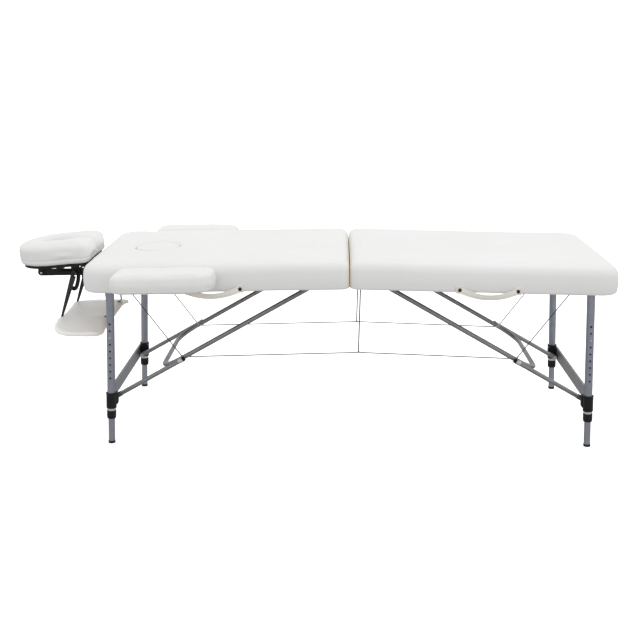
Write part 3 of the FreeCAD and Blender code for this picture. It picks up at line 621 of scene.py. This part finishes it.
def slice_path(obj, centre, direction):
    """The longest line where a plane cuts the piece, as ordered points; also says if it is closed."""
    bm = bmesh.new()
    bm.from_mesh(obj.data)
    cut = bmesh.ops.bisect_plane(
        bm, geom=bm.verts[:] + bm.edges[:] + bm.faces[:],
        plane_co=Vector(centre), plane_no=Vector(direction),
    )["geom_cut"]
    links = {}
    for edge in (e for e in cut if isinstance(e, bmesh.types.BMEdge)):
        a, b = edge.verts
        links.setdefault(a, []).append(b)
        links.setdefault(b, []).append(a)
    best, best_closed = [], False
    left = set(links)
    while left:
        ends = [v for v in left if len(links[v]) == 1]
        start = min(ends or left, key=lambda v: tuple(v.co))
        path, here = [start], start
        left.discard(start)
        while True:
            following = [v for v in links[here] if v in left]
            if not following:
                break
            here = following[0]
            left.discard(here)
            path.append(here)
        if len(path) > len(best):
            best, best_closed = path, start in links[here] and len(path) > 2
    points = [v.co.copy() for v in best]
    bm.free()
    return points, best_closed


def even_path(points, step, closed=False):
    """Points at even distances (metres) along a line."""
    pts = [Vector(p) for p in points] + ([Vector(points[0])] if closed else [])
    lengths = [0.0]
    for a, b in zip(pts, pts[1:]):
        lengths.append(lengths[-1] + (b - a).length)
    count = max(2, round(lengths[-1] / step))
    targets = np.linspace(0, lengths[-1], count + 1)
    if closed:
        targets = targets[:-1]
    flat = np.array([tuple(p) for p in pts])
    return [Vector([np.interp(t, lengths, flat[:, k]) for k in range(3)]) for t in targets]


def eased(points, closed, times=2):
    """A line with its small kinks averaged out."""
    for _ in range(times):
        count = len(points)
        points = [
            p if not closed and k in (0, count - 1)
            else (points[k - 1] + p * 2 + points[(k + 1) % count]) / 4
            for k, p in enumerate(points)
        ]
    return points


WELT_STEP = 0.005  # between the points of a welt, in metres


def welt(name, obj, centre, direction, radius, material, lift=0.0):
    """A round welt sewn round the piece where a plane cuts it; radius and lift in millimetres."""
    points, closed = slice_path(obj, centre, direction)
    points = eased(even_path(points, WELT_STEP, closed), closed, 3)
    if lift:
        tree = BVHTree.FromPolygons(
            [v.co for v in obj.data.vertices], [tuple(p.vertices) for p in obj.data.polygons]
        )
        points = [p + tree.find_nearest(p)[1] * lift * MM for p in points]
    mm_points = [p / MM for p in points]
    return sweep(name, mm_points, circle(radius, 8), material, up=direction, closed_path=closed)


def stitches(name, path, length, gap, radius, material, up=(0, 0, 1)):
    """A row of short threads along a line in millimetres."""
    shell = Shell()
    section = circle(radius, 5)
    points = even_path(path, length + gap)
    for here, after in zip(points, points[1:]):
        along = (after - here).normalized()
        across = along.cross(Vector(up)).normalized()
        over = across.cross(along)
        loops = []
        for share, size in ((0, 0.35), (0.25, 1), (0.75, 1), (1, 0.35)):
            base = here + along * length * share
            loops.append(shell.add([base + (across * a + over * b) * size for a, b in section]))
        shell.tube(loops)
    return piece(name, shell.points, shell.faces, material)


# Covers of the two halves

FACE_X, FACE_HALF_X, FACE_HALF_Y = 714.0, 83.0, 80.0
FOLD_FLAP, EDGE_FLAP = 31.5, 17.5
EDGE_ROLL = 6.0
FACE_GAP = 0.5  # from the fold line to each cover
UPRIGHT_END = 60.0  # where the upright fold end has faded out
WELT_X = 2.8


def face_ring(shell, spokes, grow, z):
    """Points of the face opening's outline, grown by a margin, at the given angles."""
    return shell.add(
        [
            (FACE_X + (FACE_HALF_X + grow) * math.cos(t), (FACE_HALF_Y + grow) * math.sin(t), z)
            for t in spokes
        ]
    )


def face_well(slab, index, block):
    """Draws the cover's top in to the face opening, over its rolled edge and down the liner."""
    shell = slab.shell
    loop = [int(index[i, j]) for i, j in ring_order(block[:2], block[2:])]
    corners = np.array([shell.points[i] for i in loop])
    spokes = [math.atan2(y / FACE_HALF_Y, (x - FACE_X) / FACE_HALF_X) for x, y, _ in corners]
    wide_x, wide_y = FACE_HALF_X + EDGE_ROLL, FACE_HALF_Y + EDGE_ROLL
    edge = np.array([(FACE_X + wide_x * math.cos(t), wide_y * math.sin(t), TOP_Z) for t in spokes])
    steps = 8
    for k in range(1, steps + 1):
        share = 1 - (1 - k / steps) ** 1.3
        new = shell.add(corners + (edge - corners) * share)
        shell.bridge(loop, new)
        loop = new
    for turn in (25, 50, 75, 90):
        t = math.radians(turn)
        grow, fall = EDGE_ROLL * (1 - math.sin(t)), EDGE_ROLL * (1 - math.cos(t))
        new = face_ring(shell, spokes, grow, TOP_Z - fall)
        shell.bridge(loop, new)
        loop = new
    for z in (655.0, 640.0, DECK_Z + 0.5):
        new = face_ring(shell, spokes, 0, z)
        shell.bridge(loop, new)
        loop = new


def grid_block(slab):
    """Cells of the top grid that the face opening replaces."""
    margin = 42
    i0 = int(np.searchsorted(slab.x, FACE_X - FACE_HALF_X - margin))
    i1 = int(np.searchsorted(slab.x, FACE_X + FACE_HALF_X + margin)) - 1
    j0 = int(np.searchsorted(slab.y, -FACE_HALF_Y - margin))
    j1 = int(np.searchsorted(slab.y, FACE_HALF_Y + margin)) - 1
    return i0, i1, j0, j1


def fold_face(z):
    """Where the fold end's upright face stands at a height, so that the two covers nearly touch."""
    return FACE_GAP - (z - UNDER_Z) * math.tan(CAMBER)


def make_cover(half):
    slab = Slab(
        xs=(FACE_GAP, HALF_LENGTH - 1.0), ys=(1.0 - HALF_WIDTH, HALF_WIDTH - 1.0), corners=(30.0, 75.0),
        zs=(UNDER_Z, TOP_Z - 0.5), top_round=30.0, bottom_round=9.0, step=13.0, crown=1.0, bulge=1.5,
        drop=38.0,
    )
    block = grid_block(slab) if half == "head" else None
    index, loop = slab.grid(True, block)
    if block:
        face_well(slab, index, block)
    loop = slab.side(loop, 6)
    low = slab.zs[0] + slab.rounds[1]
    for turn in (0, 22, 45, 67, 90):
        t = math.radians(turn)
        new = slab.ring(-slab.rounds[1] * (1 - math.cos(t)), low - slab.rounds[1] * math.sin(t))
        slab.shell.bridge(loop, new)
        loop = new
    px, py, nx, ny = slab.edge()
    for share in (0.5, 1.0):
        inset = EDGE_FLAP + (FOLD_FLAP - EDGE_FLAP) * np.clip(-nx, 0, 1) ** 2
        inset = slab.rounds[1] + (inset - slab.rounds[1]) * share
        points = np.column_stack([px - nx * inset, py - ny * inset, np.full(len(px), UNDER_Z)])
        new = slab.shell.add(points)
        slab.shell.bridge(loop, new)
        loop = new
    points = np.array([tuple(p) for p in slab.shell.points])
    points[:, 0] += (fold_face(points[:, 2]) - FACE_GAP) * np.clip(1 - points[:, 0] / UPRIGHT_END, 0, 1)
    obj = piece(half + "_cover_upholstery", points, slab.shell.faces, WHITE, half)
    heights = unplaced(half, coords(obj))[:, 2]
    liner = face_distance(half, coords(obj)) < 0.02 if half == "head" else np.zeros(len(heights), bool)
    inflate(obj, 4.0, 3.5, np.nonzero((heights < UNDER_Z + 5) | liner)[0])
    subdivided(obj)
    ripple(obj, 0.9, 160.0, 1 if half == "head" else 2)
    points = unplaced(half, coords(obj))
    points[:, 0] = np.maximum(points[:, 0], fold_face(points[:, 2]))
    set_coords(obj, placed(half, points))
    return obj


def unplaced(half, points):
    """Millimetres in the frame of one half, of row-frame points in metres."""
    p = np.asarray(points, float) / MM
    sign = -1 if half == "head" else 1
    along, up = (p[:, 0] - FOLD_X) * sign, p[:, 2] - UNDER_Z
    x = along * math.cos(CAMBER) - up * math.sin(CAMBER)
    z = UNDER_Z + along * math.sin(CAMBER) + up * math.cos(CAMBER)
    return np.column_stack([x, p[:, 1], z])


def face_distance(half, points):
    """How far points lie outside the face opening, as a share of its half sizes."""
    p = unplaced(half, points)
    return np.hypot((p[:, 0] - FACE_X) / FACE_HALF_X, p[:, 1] / FACE_HALF_Y) - 1


def thicken(obj, thickness):
    solid = obj.modifiers.new("thickness", "SOLIDIFY")
    solid.thickness = thickness * MM
    solid.offset = -1
    return applied(obj, solid)


def fold_welt(half, cover):
    """The welt round the fold end of a cover."""
    centre = placed(half, [(WELT_X, 0, UNDER_Z + 50)])[0]
    outward = (-1 if half == "head" else 1, 0, 0)
    return welt(half + "_fold_welt", cover, centre, outward, 1.9, PIPING, lift=0.3)


for half in HALVES:
    cover = make_cover(half)
    trim = fold_welt(half, cover)
    thicken(cover, 1.8)
    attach(cover, half + "_top")
    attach(trim, half + "_top")
    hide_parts(half + "_cover", half + "_foam")


# Face opening plug


def make_plug():
    spokes = [2 * math.pi * k / 96 for k in range(96)]
    shell = Shell()
    grow, roll = -1.2, 7.0
    loops = []
    for share in (0.12, 0.25, 0.38, 0.5, 0.62, 0.74, 0.86):
        z = TOP_Z + 2.5 * (1 - share**2)
        loops.append(
            shell.add(
                [
                    (FACE_X + (FACE_HALF_X + grow - roll) * share * math.cos(t),
                     (FACE_HALF_Y + grow - roll) * share * math.sin(t), z)
                    for t in spokes
                ]
            )
        )
    for turn in (0, 20, 40, 60, 80):
        t = math.radians(turn)
        inward = roll * (1 - math.sin(t))
        loops.append(face_ring(shell, spokes, grow - inward, TOP_Z + 0.3 - roll * (1 - math.cos(t))))
    for z in (660.0, 648.0, 636.0, DECK_Z + 8):
        loops.append(face_ring(shell, spokes, grow, z))
    loops.append(face_ring(shell, spokes, grow - 4, DECK_Z + 6))
    shell.tube(loops, capped=False)
    shell.fan(loops[0], (FACE_X, 0, TOP_Z + 2.6))
    shell.fan(loops[-1], (FACE_X, 0, DECK_Z + 6))
    obj = piece("face_plug_pad", shell.points, shell.faces, WHITE, "head")
    subdivided(obj)
    ripple(obj, 0.7, 45.0, 3, (1, 0.4, 1))
    return obj


plug = make_plug()
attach(plug, "face_plug")
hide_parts("face_plug")


# Armrests


def make_armrest(side):
    sign = -1 if side == "near" else 1
    slab = Slab(
        xs=(354.0, 497.5), ys=(454.5, 793.5), corners=(14.0, 62.0, 30.0), zs=(612.0, 669.5),
        top_round=18.0, bottom_round=9.0, step=11.0, crown=2.5, bulge=2.5,
    )
    slab.close(4)
    points = [(b, sign * a, z) for a, b, z in slab.shell.points]
    obj = piece("armrest_" + side + "_cushion", points, slab.shell.faces, WHITE, "head")
    inflate(obj, 4.0, 4.0)
    subdivided(obj)
    ripple(obj, 1.1, 70.0, 5 if side == "near" else 6)
    return obj


for side in ("near", "far"):
    pad = make_armrest(side)
    centre = placed("head", [(624.0, 0, 618.0)])[0]
    upward = (-math.sin(CAMBER), 0, math.cos(CAMBER))
    seam = welt("armrest_" + side + "_seam", pad, centre, upward, 1.1, WHITE)
    for obj in (pad, seam):
        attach(obj, "armrest_" + side)
    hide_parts("armrest_" + side + "_pad")


# Face rest cushion

REST_PIVOT = (1136.0, 600.75)
REST_TILT = math.radians(4.0)


def level(points):
    """Millimetres in the face rest's own level frame, of row-frame points."""
    p = unplaced("head", points)
    x, z = p[:, 0] - REST_PIVOT[0], p[:, 2] - REST_PIVOT[1]
    new_x = x * math.cos(REST_TILT) - z * math.sin(REST_TILT)
    new_z = x * math.sin(REST_TILT) + z * math.cos(REST_TILT)
    return np.column_stack([REST_PIVOT[0] + new_x, p[:, 1], REST_PIVOT[1] + new_z])


def remeshed_node(name, source, voxel, shrink, material):
    """A soft copy of a CAD node, remeshed evenly and drawn in a little, in millimetres."""
    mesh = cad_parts[source].data.copy()
    bm = bmesh.new()
    bm.from_mesh(mesh)
    bmesh.ops.remove_doubles(bm, verts=bm.verts, dist=1e-5)
    bm.to_mesh(mesh)
    bm.free()
    mesh.materials.clear()
    mesh.materials.append(material)
    obj = in_scene(name, mesh)
    remesh = obj.modifiers.new("remesh", "REMESH")
    remesh.mode = "VOXEL"
    remesh.voxel_size = voxel * MM
    remesh.use_smooth_shade = True
    applied(obj, remesh)
    set_coords(obj, coords(obj) - normals(obj) * shrink * MM)
    return obj


def smoothed(obj, times):
    smooth = obj.modifiers.new("soften", "SMOOTH")
    smooth.factor = 0.5
    smooth.iterations = times
    return applied(obj, smooth)


def make_rest_cushion():
    obj = remeshed_node("headrest_cushion_pad", "headrest_cushion", 4.5, 2.5, WHITE)
    smoothed(obj, 6)
    inflate(obj, 4.0, 5.0)
    subdivided(obj)
    points, out = coords(obj), normals(obj)
    here = level(points)
    seam = np.exp(-(((here[:, 2] - 651.0) / 2.6) ** 2))
    turn = np.arctan2(here[:, 1], here[:, 0] - 1080.0)
    outer = np.clip((here[:, 0] - 1110.0) / 80.0, 0, 1)
    pleats = np.sin(turn * 26) * np.exp(-(((here[:, 2] - 661.0) / 13.0) ** 2)) * outer
    push = -1.8 * seam - 0.8 * pleats
    set_coords(obj, points + out * (push * MM)[:, None])
    ripple(obj, 1.0, 55.0, 8)
    return obj


cushion = make_rest_cushion()
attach(cushion, "headrest_platform")
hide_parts("headrest_cushion")


# Arm shelf

SHELF_X, SHELF_HALF, SHELF_Z = (888.0, 1082.0), 245.0, (420.0, 434.0)
STRAP_MIDDLE = 112.0
STRAP_SECTION = [
    (-1, -0.6), (-0.7, -1), (0, -0.85), (0.7, -1), (1, -0.6),
    (1, 0.6), (0.7, 1), (0, 0.85), (-0.7, 1), (-1, 0.6),
]


def droop(points):
    """Lets the shelf hang from its straps: its ends fall away beyond the straps and its middle sags a
    little between them.
    """
    p = np.array(points, float)
    past = np.clip(abs(p[:, 1]) - STRAP_MIDDLE, 0, None) / (SHELF_HALF - STRAP_MIDDLE)
    between_straps = 1 - np.clip(abs(p[:, 1]) / STRAP_MIDDLE, 0, 1) ** 2
    p[:, 2] -= 24.0 * past**1.15 + 6.0 * between_straps
    return p


def make_shelf():
    slab = Slab(
        xs=SHELF_X, ys=(-SHELF_HALF, SHELF_HALF), corners=(30.0, 85.0), zs=SHELF_Z,
        top_round=6.0, bottom_round=6.0, step=9.0, crown=2.0, bulge=0.5,
    )
    slab.close(2)
    obj = piece("arm_shelf_panel", droop(slab.shell.points), slab.shell.faces, SHELF, "head")
    inflate(obj, 3.0, 2.5)
    subdivided(obj)
    ripple(obj, 1.6, 90.0, 9)
    points, out = coords(obj), normals(obj)
    here = unplaced("head", points)
    crease = np.exp(-(((abs(here[:, 1]) - STRAP_MIDDLE) / 5.0) ** 2)) * np.sign(out[:, 2])
    set_coords(obj, points + out * (crease * 1.6 * MM)[:, None])
    return obj


shelf = make_shelf()
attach(shelf, "arm_shelf")
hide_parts("arm_sling")


def make_strap(name, path, widths, thicknesses, sign):
    """Webbing along a path in the XZ plane, given its sizes along Y and across the path."""
    shell = Shell()
    loops = []
    pts = [Vector((x, 0, z)) for x, z in path]
    for k, p in enumerate(pts):
        along = (pts[min(k + 1, len(pts) - 1)] - pts[max(k - 1, 0)]).normalized()
        over = Vector((-along.z, 0, along.x))
        half_w, half_t = widths[k] / 2, thicknesses[k] / 2
        outline = []
        for a, b in STRAP_SECTION:
            outline.append(p + Vector((0, sign * STRAP_MIDDLE + a * half_w, 0)) + over * b * half_t)
        loops.append(shell.add(outline))
    shell.tube(loops)
    return piece(name, shell.points, shell.faces, WEBBING, "head")


def strap_path(knots):
    """Even places along straight runs between knots, with their corners eased."""
    path = even_path([Vector((x, 0, z)) for x, z in knots], 6.0)
    return [(p.x, p.z) for p in eased(path, False, 2)]


BOLT = (1010.0, 600.75)
strap_objects = []
for sign in (-1, 1):
    side = "near" if sign < 0 else "far"
    front = strap_path([(SHELF_X[1] - 14, SHELF_Z[1] + 2.5), (BOLT[0] + 2, BOLT[1] - 8)])
    heights = [min(1, max(0, (z - SHELF_Z[1]) / 150.0)) for _, z in front]
    broad = [7 + 13 * h**0.8 for h in heights]
    thin = [3.0 - 1.2 * h for h in heights]
    strap_objects.append(make_strap("shelf_front_strap_" + side, front, thin, broad, sign))
    loop = [(1, -8), (6.6, -8), (7.2, -7), (7.2, 7), (6.6, 8), (1, 8)]
    base = (BOLT[0], sign * STRAP_MIDDLE, BOLT[1])
    strap_objects.append(lathe("loop", loop, WEBBING, base, (0, 1, 0), "head", 28))
    on_shelf = SHELF_Z[1] + 3.5
    rear = strap_path(
        [(926, 577.0), (900, 576.5), (SHELF_X[0] + 5, on_shelf), (SHELF_X[0] + 22, on_shelf)]
    )
    broad, thin = [20] * len(rear), [1.8] * len(rear)
    strap_objects.append(make_strap("shelf_rear_strap_" + side, rear, broad, thin, sign))
straps = joined("shelf_straps", strap_objects)
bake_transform(straps)
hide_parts("arm_sling_straps")


# Carry handles

HANDLE_X, HANDLE_Z = (375.0, 573.0), 591.0
HANDLE_SECTION = [
    (-11, 0.2), (-10.4, 1.5), (-8.5, 2.1), (-6.2, 1.7), (-5.2, 1.0), (-4.2, 1.8), (-2, 2.3), (0, 2.4),
    (2, 2.3), (4.2, 1.8), (5.2, 1.0), (6.2, 1.7), (8.5, 2.1), (10.4, 1.5), (11, 0.2),
    (10.4, -1.1), (5, -1.4), (0, -1.4), (-5, -1.4), (-10.4, -1.1),
]


def make_handle(half):
    """A folded strap that sags and bows out, its two stitched tabs, screws and washers."""
    first, last = HANDLE_X
    face_y = -HALF_WIDTH - 3.0
    path, ups = [], []
    for k in range(33):
        t = k / 32
        hang = 4 * t * (1 - t)
        path.append((first + (last - first) * t, face_y - 13.0 * hang - 1.2, HANDLE_Z - 21.0 * hang))
        ups.append((0, -1.0, -0.35 * hang))
    handle = sweep(half + "_handle_strap", path, HANDLE_SECTION, CREAM, half, up=ups)
    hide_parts(half + "_carry_handle")
    tabs = []
    for x in HANDLE_X:
        tab = Slab(
            xs=(x - 13, x + 13), ys=(HANDLE_Z - 13, HANDLE_Z + 13), corners=(2.5, 2.5),
            zs=(0.0, 2.8), top_round=1.0, bottom_round=0.5, step=4.0, crown=0.3,
        )
        tab.close(2)
        points = [(a, -HALF_WIDTH - 0.8 - c, b) for a, b, c in tab.shell.points]
        tabs.append(piece(half + "_tab", points, tab.shell.faces, CREAM, half))
    tabs = joined(half + "_handle_tabs", tabs)
    extras = []
    for x in HANDLE_X:
        corners = [(-10, -10), (10, -10), (10, 10), (-10, 10), (-10, -10)]
        line = placed(half, [(x + a, -HALF_WIDTH - 3.9, HANDLE_Z + b) for a, b in corners]) / MM
        extras.append(stitches(half + "_tab_thread", line, 2.4, 1.0, 0.35, THREAD, up=(0, -1, 0)))
    threads = joined(half + "_handle_threads", extras)
    caps = [
        lathe(half + "_cap", [(6.6, -0.6), (6.2, 0.6), (4.4, 1.7), (1.6, 2.2), (0.05, 2.25)], SCREW,
              (x, -HALF_WIDTH - 7.2, HANDLE_Z), (0, -1, 0), half)
        for x in HANDLE_X
    ]
    screws = joined(half + "_handle_screw_caps", caps)
    for obj in (handle, tabs, threads, screws):
        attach(obj, half + "_top")


for half in HALVES:
    make_handle(half)


# Cables

JOINT = (609.66, 306.65)
UPPER_Y, LOWER_Y = 215.0, 211.5
CABLE_R, DROP_R = 1.8, 2.2
CABLE_CENTRE, CABLE_AT_FOLD = (40.4, 209.0, 314.8), (5.6, 209.0, 312.8)
UPPER_END = (805.0, 585.6)
DROP_TOP = (40.4, 209.0, 585.6)


def wire(name, path, radius, half):
    runs = even_path(path, 12.0)
    return sweep(name, runs, circle(radius, 10), CABLE, half, up=(0.13, 1, 0.21))


def cable_set(half):
    parts = []
    for sign in (-1, 1):
        def side(points):
            return [(x, sign * y, z) for x, y, z in points]

        joint_upper, joint_lower = (JOINT[0], UPPER_Y, JOINT[1]), (JOINT[0], LOWER_Y, JOINT[1])
        upper = side([joint_upper, (UPPER_END[0], UPPER_Y, UPPER_END[1])])
        lower = side([joint_lower] + ([CABLE_CENTRE] if half == "foot" else []) + [CABLE_AT_FOLD])
        for label, path in (("upper", upper), ("lower", lower)):
            parts.append(wire(label, path, CABLE_R, half))
            start, onward = Vector(path[0]), Vector(path[1])
            along = (onward - start).normalized()
            sleeve = [(1.7, 0), (2.5, 0.8), (2.6, 8), (2.4, 15), (1.7, 16)]
            parts.append(lathe("sleeve", sleeve, ZINC, start + along * 5, along, half, 12))
            ring = [(3.4, -0.9), (6.2, -0.9), (6.6, 0), (6.2, 0.9), (3.4, 0.9)]
            parts.append(lathe("ring", ring, ZINC, start, (0, 1, 0), half, 20))
        if half == "foot":
            top, centre = side([DROP_TOP, CABLE_CENTRE])
            parts.append(wire("drop", [top, centre], DROP_R, half))
            along = (Vector(lower[1]) - Vector(lower[2])).normalized()
            ferrule = [(1.6, -8), (3.2, -7), (3.3, 0), (3.2, 7), (1.6, 8)]
            parts.append(lathe("ferrule", ferrule, ZINC, centre, along, half, 14))
    made = joined(half + "_wire_ropes", parts)
    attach(made, half + "_top")
    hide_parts(half + "_cables", *(["drop_wires"] if half == "foot" else []))
    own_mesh(made)


for half in HALVES:
    cable_set(half)


# Small hardware

LEG_X, LEG_Y, PIVOT_Z = 831.0, 312.0, 600.0
SPLAY = math.radians(2.5) + CAMBER
SLOPE = math.radians(28.616)
STRUT_Y, STRUT_R = 253.0, 8.0
HOLE_FIRST, HOLE_PITCH, HOLE_COUNT, BUTTON_HOLE = 136.0, 25.0, 9, 2
SHADE_DEEP = 11.75  # from the leg's axis to the dark disc in each of its open holes, a disc of painted shade standing for the hole's dark inside
PLATE_Y = 91.9


def on_leg(distance, side=0.0):
    """A point on a leg's axis, at a distance below its pivot."""
    return Vector((LEG_X + distance * math.sin(SPLAY), side, PIVOT_Z - distance * math.cos(SPLAY)))


for half in HALVES:
    leg_axis = (math.sin(SPLAY), 0, -math.cos(SPLAY))
    strut_axis = Vector((-math.cos(SLOPE), 0, math.sin(SLOPE)))
    collars, clips, plugs, shades = [], [], [], []
    for sign in (-1, 1):
        for number in range(HOLE_COUNT):
            shift = 0.3 if number == 0 else 1.7
            place = on_leg(HOLE_FIRST + HOLE_PITCH * number - shift, sign * (LEG_Y + SHADE_DEEP))
            # every open hole but the button's gets a dark disc: painted shade inside the hole, not a part
            # of the leg
            if number != BUTTON_HOLE:
                disc = [(3.9, 0), (3.9, 0.5)]
                shades.append(lathe("shade", disc, BLACK_PLASTIC_AND_HOLE_SHADE, place, (0, sign, 0), half, 16))
        flare = [(14.3, 0), (17.2, 0), (19.0, 0.8), (19.3, 2.2), (19.0, 4.0), (18.15, 6.5), (18.1, 7.5)]
        collars.append(lathe("flare", flare, BLACK_PLASTIC_AND_HOLE_SHADE, on_leg(391.6, sign * LEG_Y), leg_axis, half, 32))
        joint = Vector((JOINT[0], sign * STRUT_Y, JOINT[1]))
        end = joint + strut_axis * 12
        cap = [(8.2, -7), (8.7, -6), (8.7, 0.5), (8.2, 2.2), (6.0, 3.2), (0.05, 3.6)]
        plugs.append(lathe("cap", cap, BLACK_PLASTIC_AND_HOLE_SHADE, end, strut_axis, half, 20))
        band = [(8.1, -8), (9.1, -8), (9.3, -7), (9.3, 7), (9.1, 8), (8.1, 8)]
        clips.append(lathe("band", band, ZINC, joint - strut_axis * 2, strut_axis, half, 24))
        dome = [(5.6, 0), (5.4, 1.2), (4.0, 2.4), (1.6, 3.0), (0.05, 3.1)]
        base = Vector((JOINT[0], sign * (STRUT_Y + STRUT_R + 1.8), JOINT[1]))
        clips.append(lathe("dome", dome, ZINC, base, (0, sign, 0), half, 18))
    groups = (
        ("_collar_flares", collars, "_legs", "black_plastic"),
        ("_hole_shades", shades, "_legs", "black_plastic"),
        ("_strut_caps", plugs, "_strut_pair", "black_plastic"),
        ("_strut_clips", clips, "_strut_pair", "zinc_steel"),
    )
    for label, parts, body, slot in groups:
        made = joined(half + label, parts)
        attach(made, half + body)


rivets = [
    lathe("rivet", [(4.2, 0), (4.0, 0.8), (2.6, 1.5), (0.05, 1.8)], ZINC,
          (REST_PIVOT[0], sign * PLATE_Y, REST_PIVOT[1]), (0, sign, 0), "head", 18)
    for sign in (-1, 1)
]
rivets = joined("headrest_pivot_rivets", rivets)
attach(rivets, "headrest_platform")


# Camera, light and stage

FOCAL_PIXELS, PICTURE_WIDTH = 991.4, 640
CAMERA_PLACE = (0.1166, -3.6451, 1.3833)
LOOK_DOWN, LOOK_LEFT = 0.2692, 0.0199
FLOOR_REACH = 400
scene = bpy.context.scene
camera_data = bpy.data.cameras.new("camera")
camera_data.sensor_width = 36.0
camera_data.lens = FOCAL_PIXELS * camera_data.sensor_width / PICTURE_WIDTH
camera_data.clip_end = 2.5 * FLOOR_REACH
camera = in_scene("camera", camera_data)
camera.location = CAMERA_PLACE
camera.rotation_euler = (math.pi / 2 - LOOK_DOWN, 0, LOOK_LEFT)
scene.camera = camera

floor_mesh = bpy.data.meshes.new("floor")
floor_corners = [(x * FLOOR_REACH, y * FLOOR_REACH, 0) for x, y in ((-1, -1), (1, -1), (1, 1), (-1, 1))]
floor_mesh.from_pydata(floor_corners, [], [(0, 1, 2, 3)])
floor = in_scene("floor", floor_mesh)
floor.location.z = -0.0006
floor_material, floor_tree, floor_shader = material("pale_floor", (0.93, 0.93, 0.93), 0.6)
tone = noise_at(floor_tree, place_coords(floor_tree), 0.7, 2.0)
floor_tree.links.new(
    tint(floor_tree, tone, (0.90, 0.90, 0.90), (0.88, 0.88, 0.885)), floor_shader.inputs["Base Color"]
)
floor_shader.inputs["Emission Color"].default_value = (1, 1, 1, 1)
floor_shader.inputs["Emission Strength"].default_value = 0.62
floor_shader.inputs["Specular IOR Level"].default_value = 0.1
floor_mesh.materials.append(floor_material)
floor.visible_diffuse = False
floor.visible_glossy = False

LOW_LIGHT, HIGH_LIGHT = 0.50, 1.03
world = bpy.data.worlds.new("studio")
world.use_nodes = True
sky = world.node_tree
background = sky.nodes["Background"]
direction = node(sky, "TexCoord")
split = node(sky, "SeparateXYZ")
sky.links.new(direction.outputs["Generated"], split.inputs["Vector"])
shade = between(sky, split.outputs["Z"], -0.25, 0.0, LOW_LIGHT, HIGH_LIGHT)
lean = between(sky, split.outputs["X"], -1.0, 1.0, 0.985, 1.03)
strength = node(sky, "Math", operation="MULTIPLY")
sky.links.new(shade, strength.inputs[0])
sky.links.new(lean, strength.inputs[1])
sky.links.new(strength.outputs["Value"], background.inputs["Strength"])
background.inputs["Color"].default_value = (1, 1, 1, 1)
scene.world = world


def area_light(name, place, target, size, watts):
    data = bpy.data.lights.new(name, "AREA")
    data.shape = "RECTANGLE"
    data.size, data.size_y = size
    data.energy = watts
    lamp = in_scene(name, data)
    lamp.location = place
    lamp.rotation_euler = (Vector(target) - Vector(place)).to_track_quat("-Z", "Y").to_euler()


area_light("overhead", (0.4, 0.6, 3.4), (0, 0, 0.5), (3.5, 2.5), 6)
area_light("right", (3.2, -1.2, 2.4), (0.3, 0, 0.6), (1.6, 1.6), 3)

scene.view_settings.view_transform = "Standard"
scene.view_settings.look = "None"
scene.view_settings.exposure = 0
scene.view_settings.gamma = 1
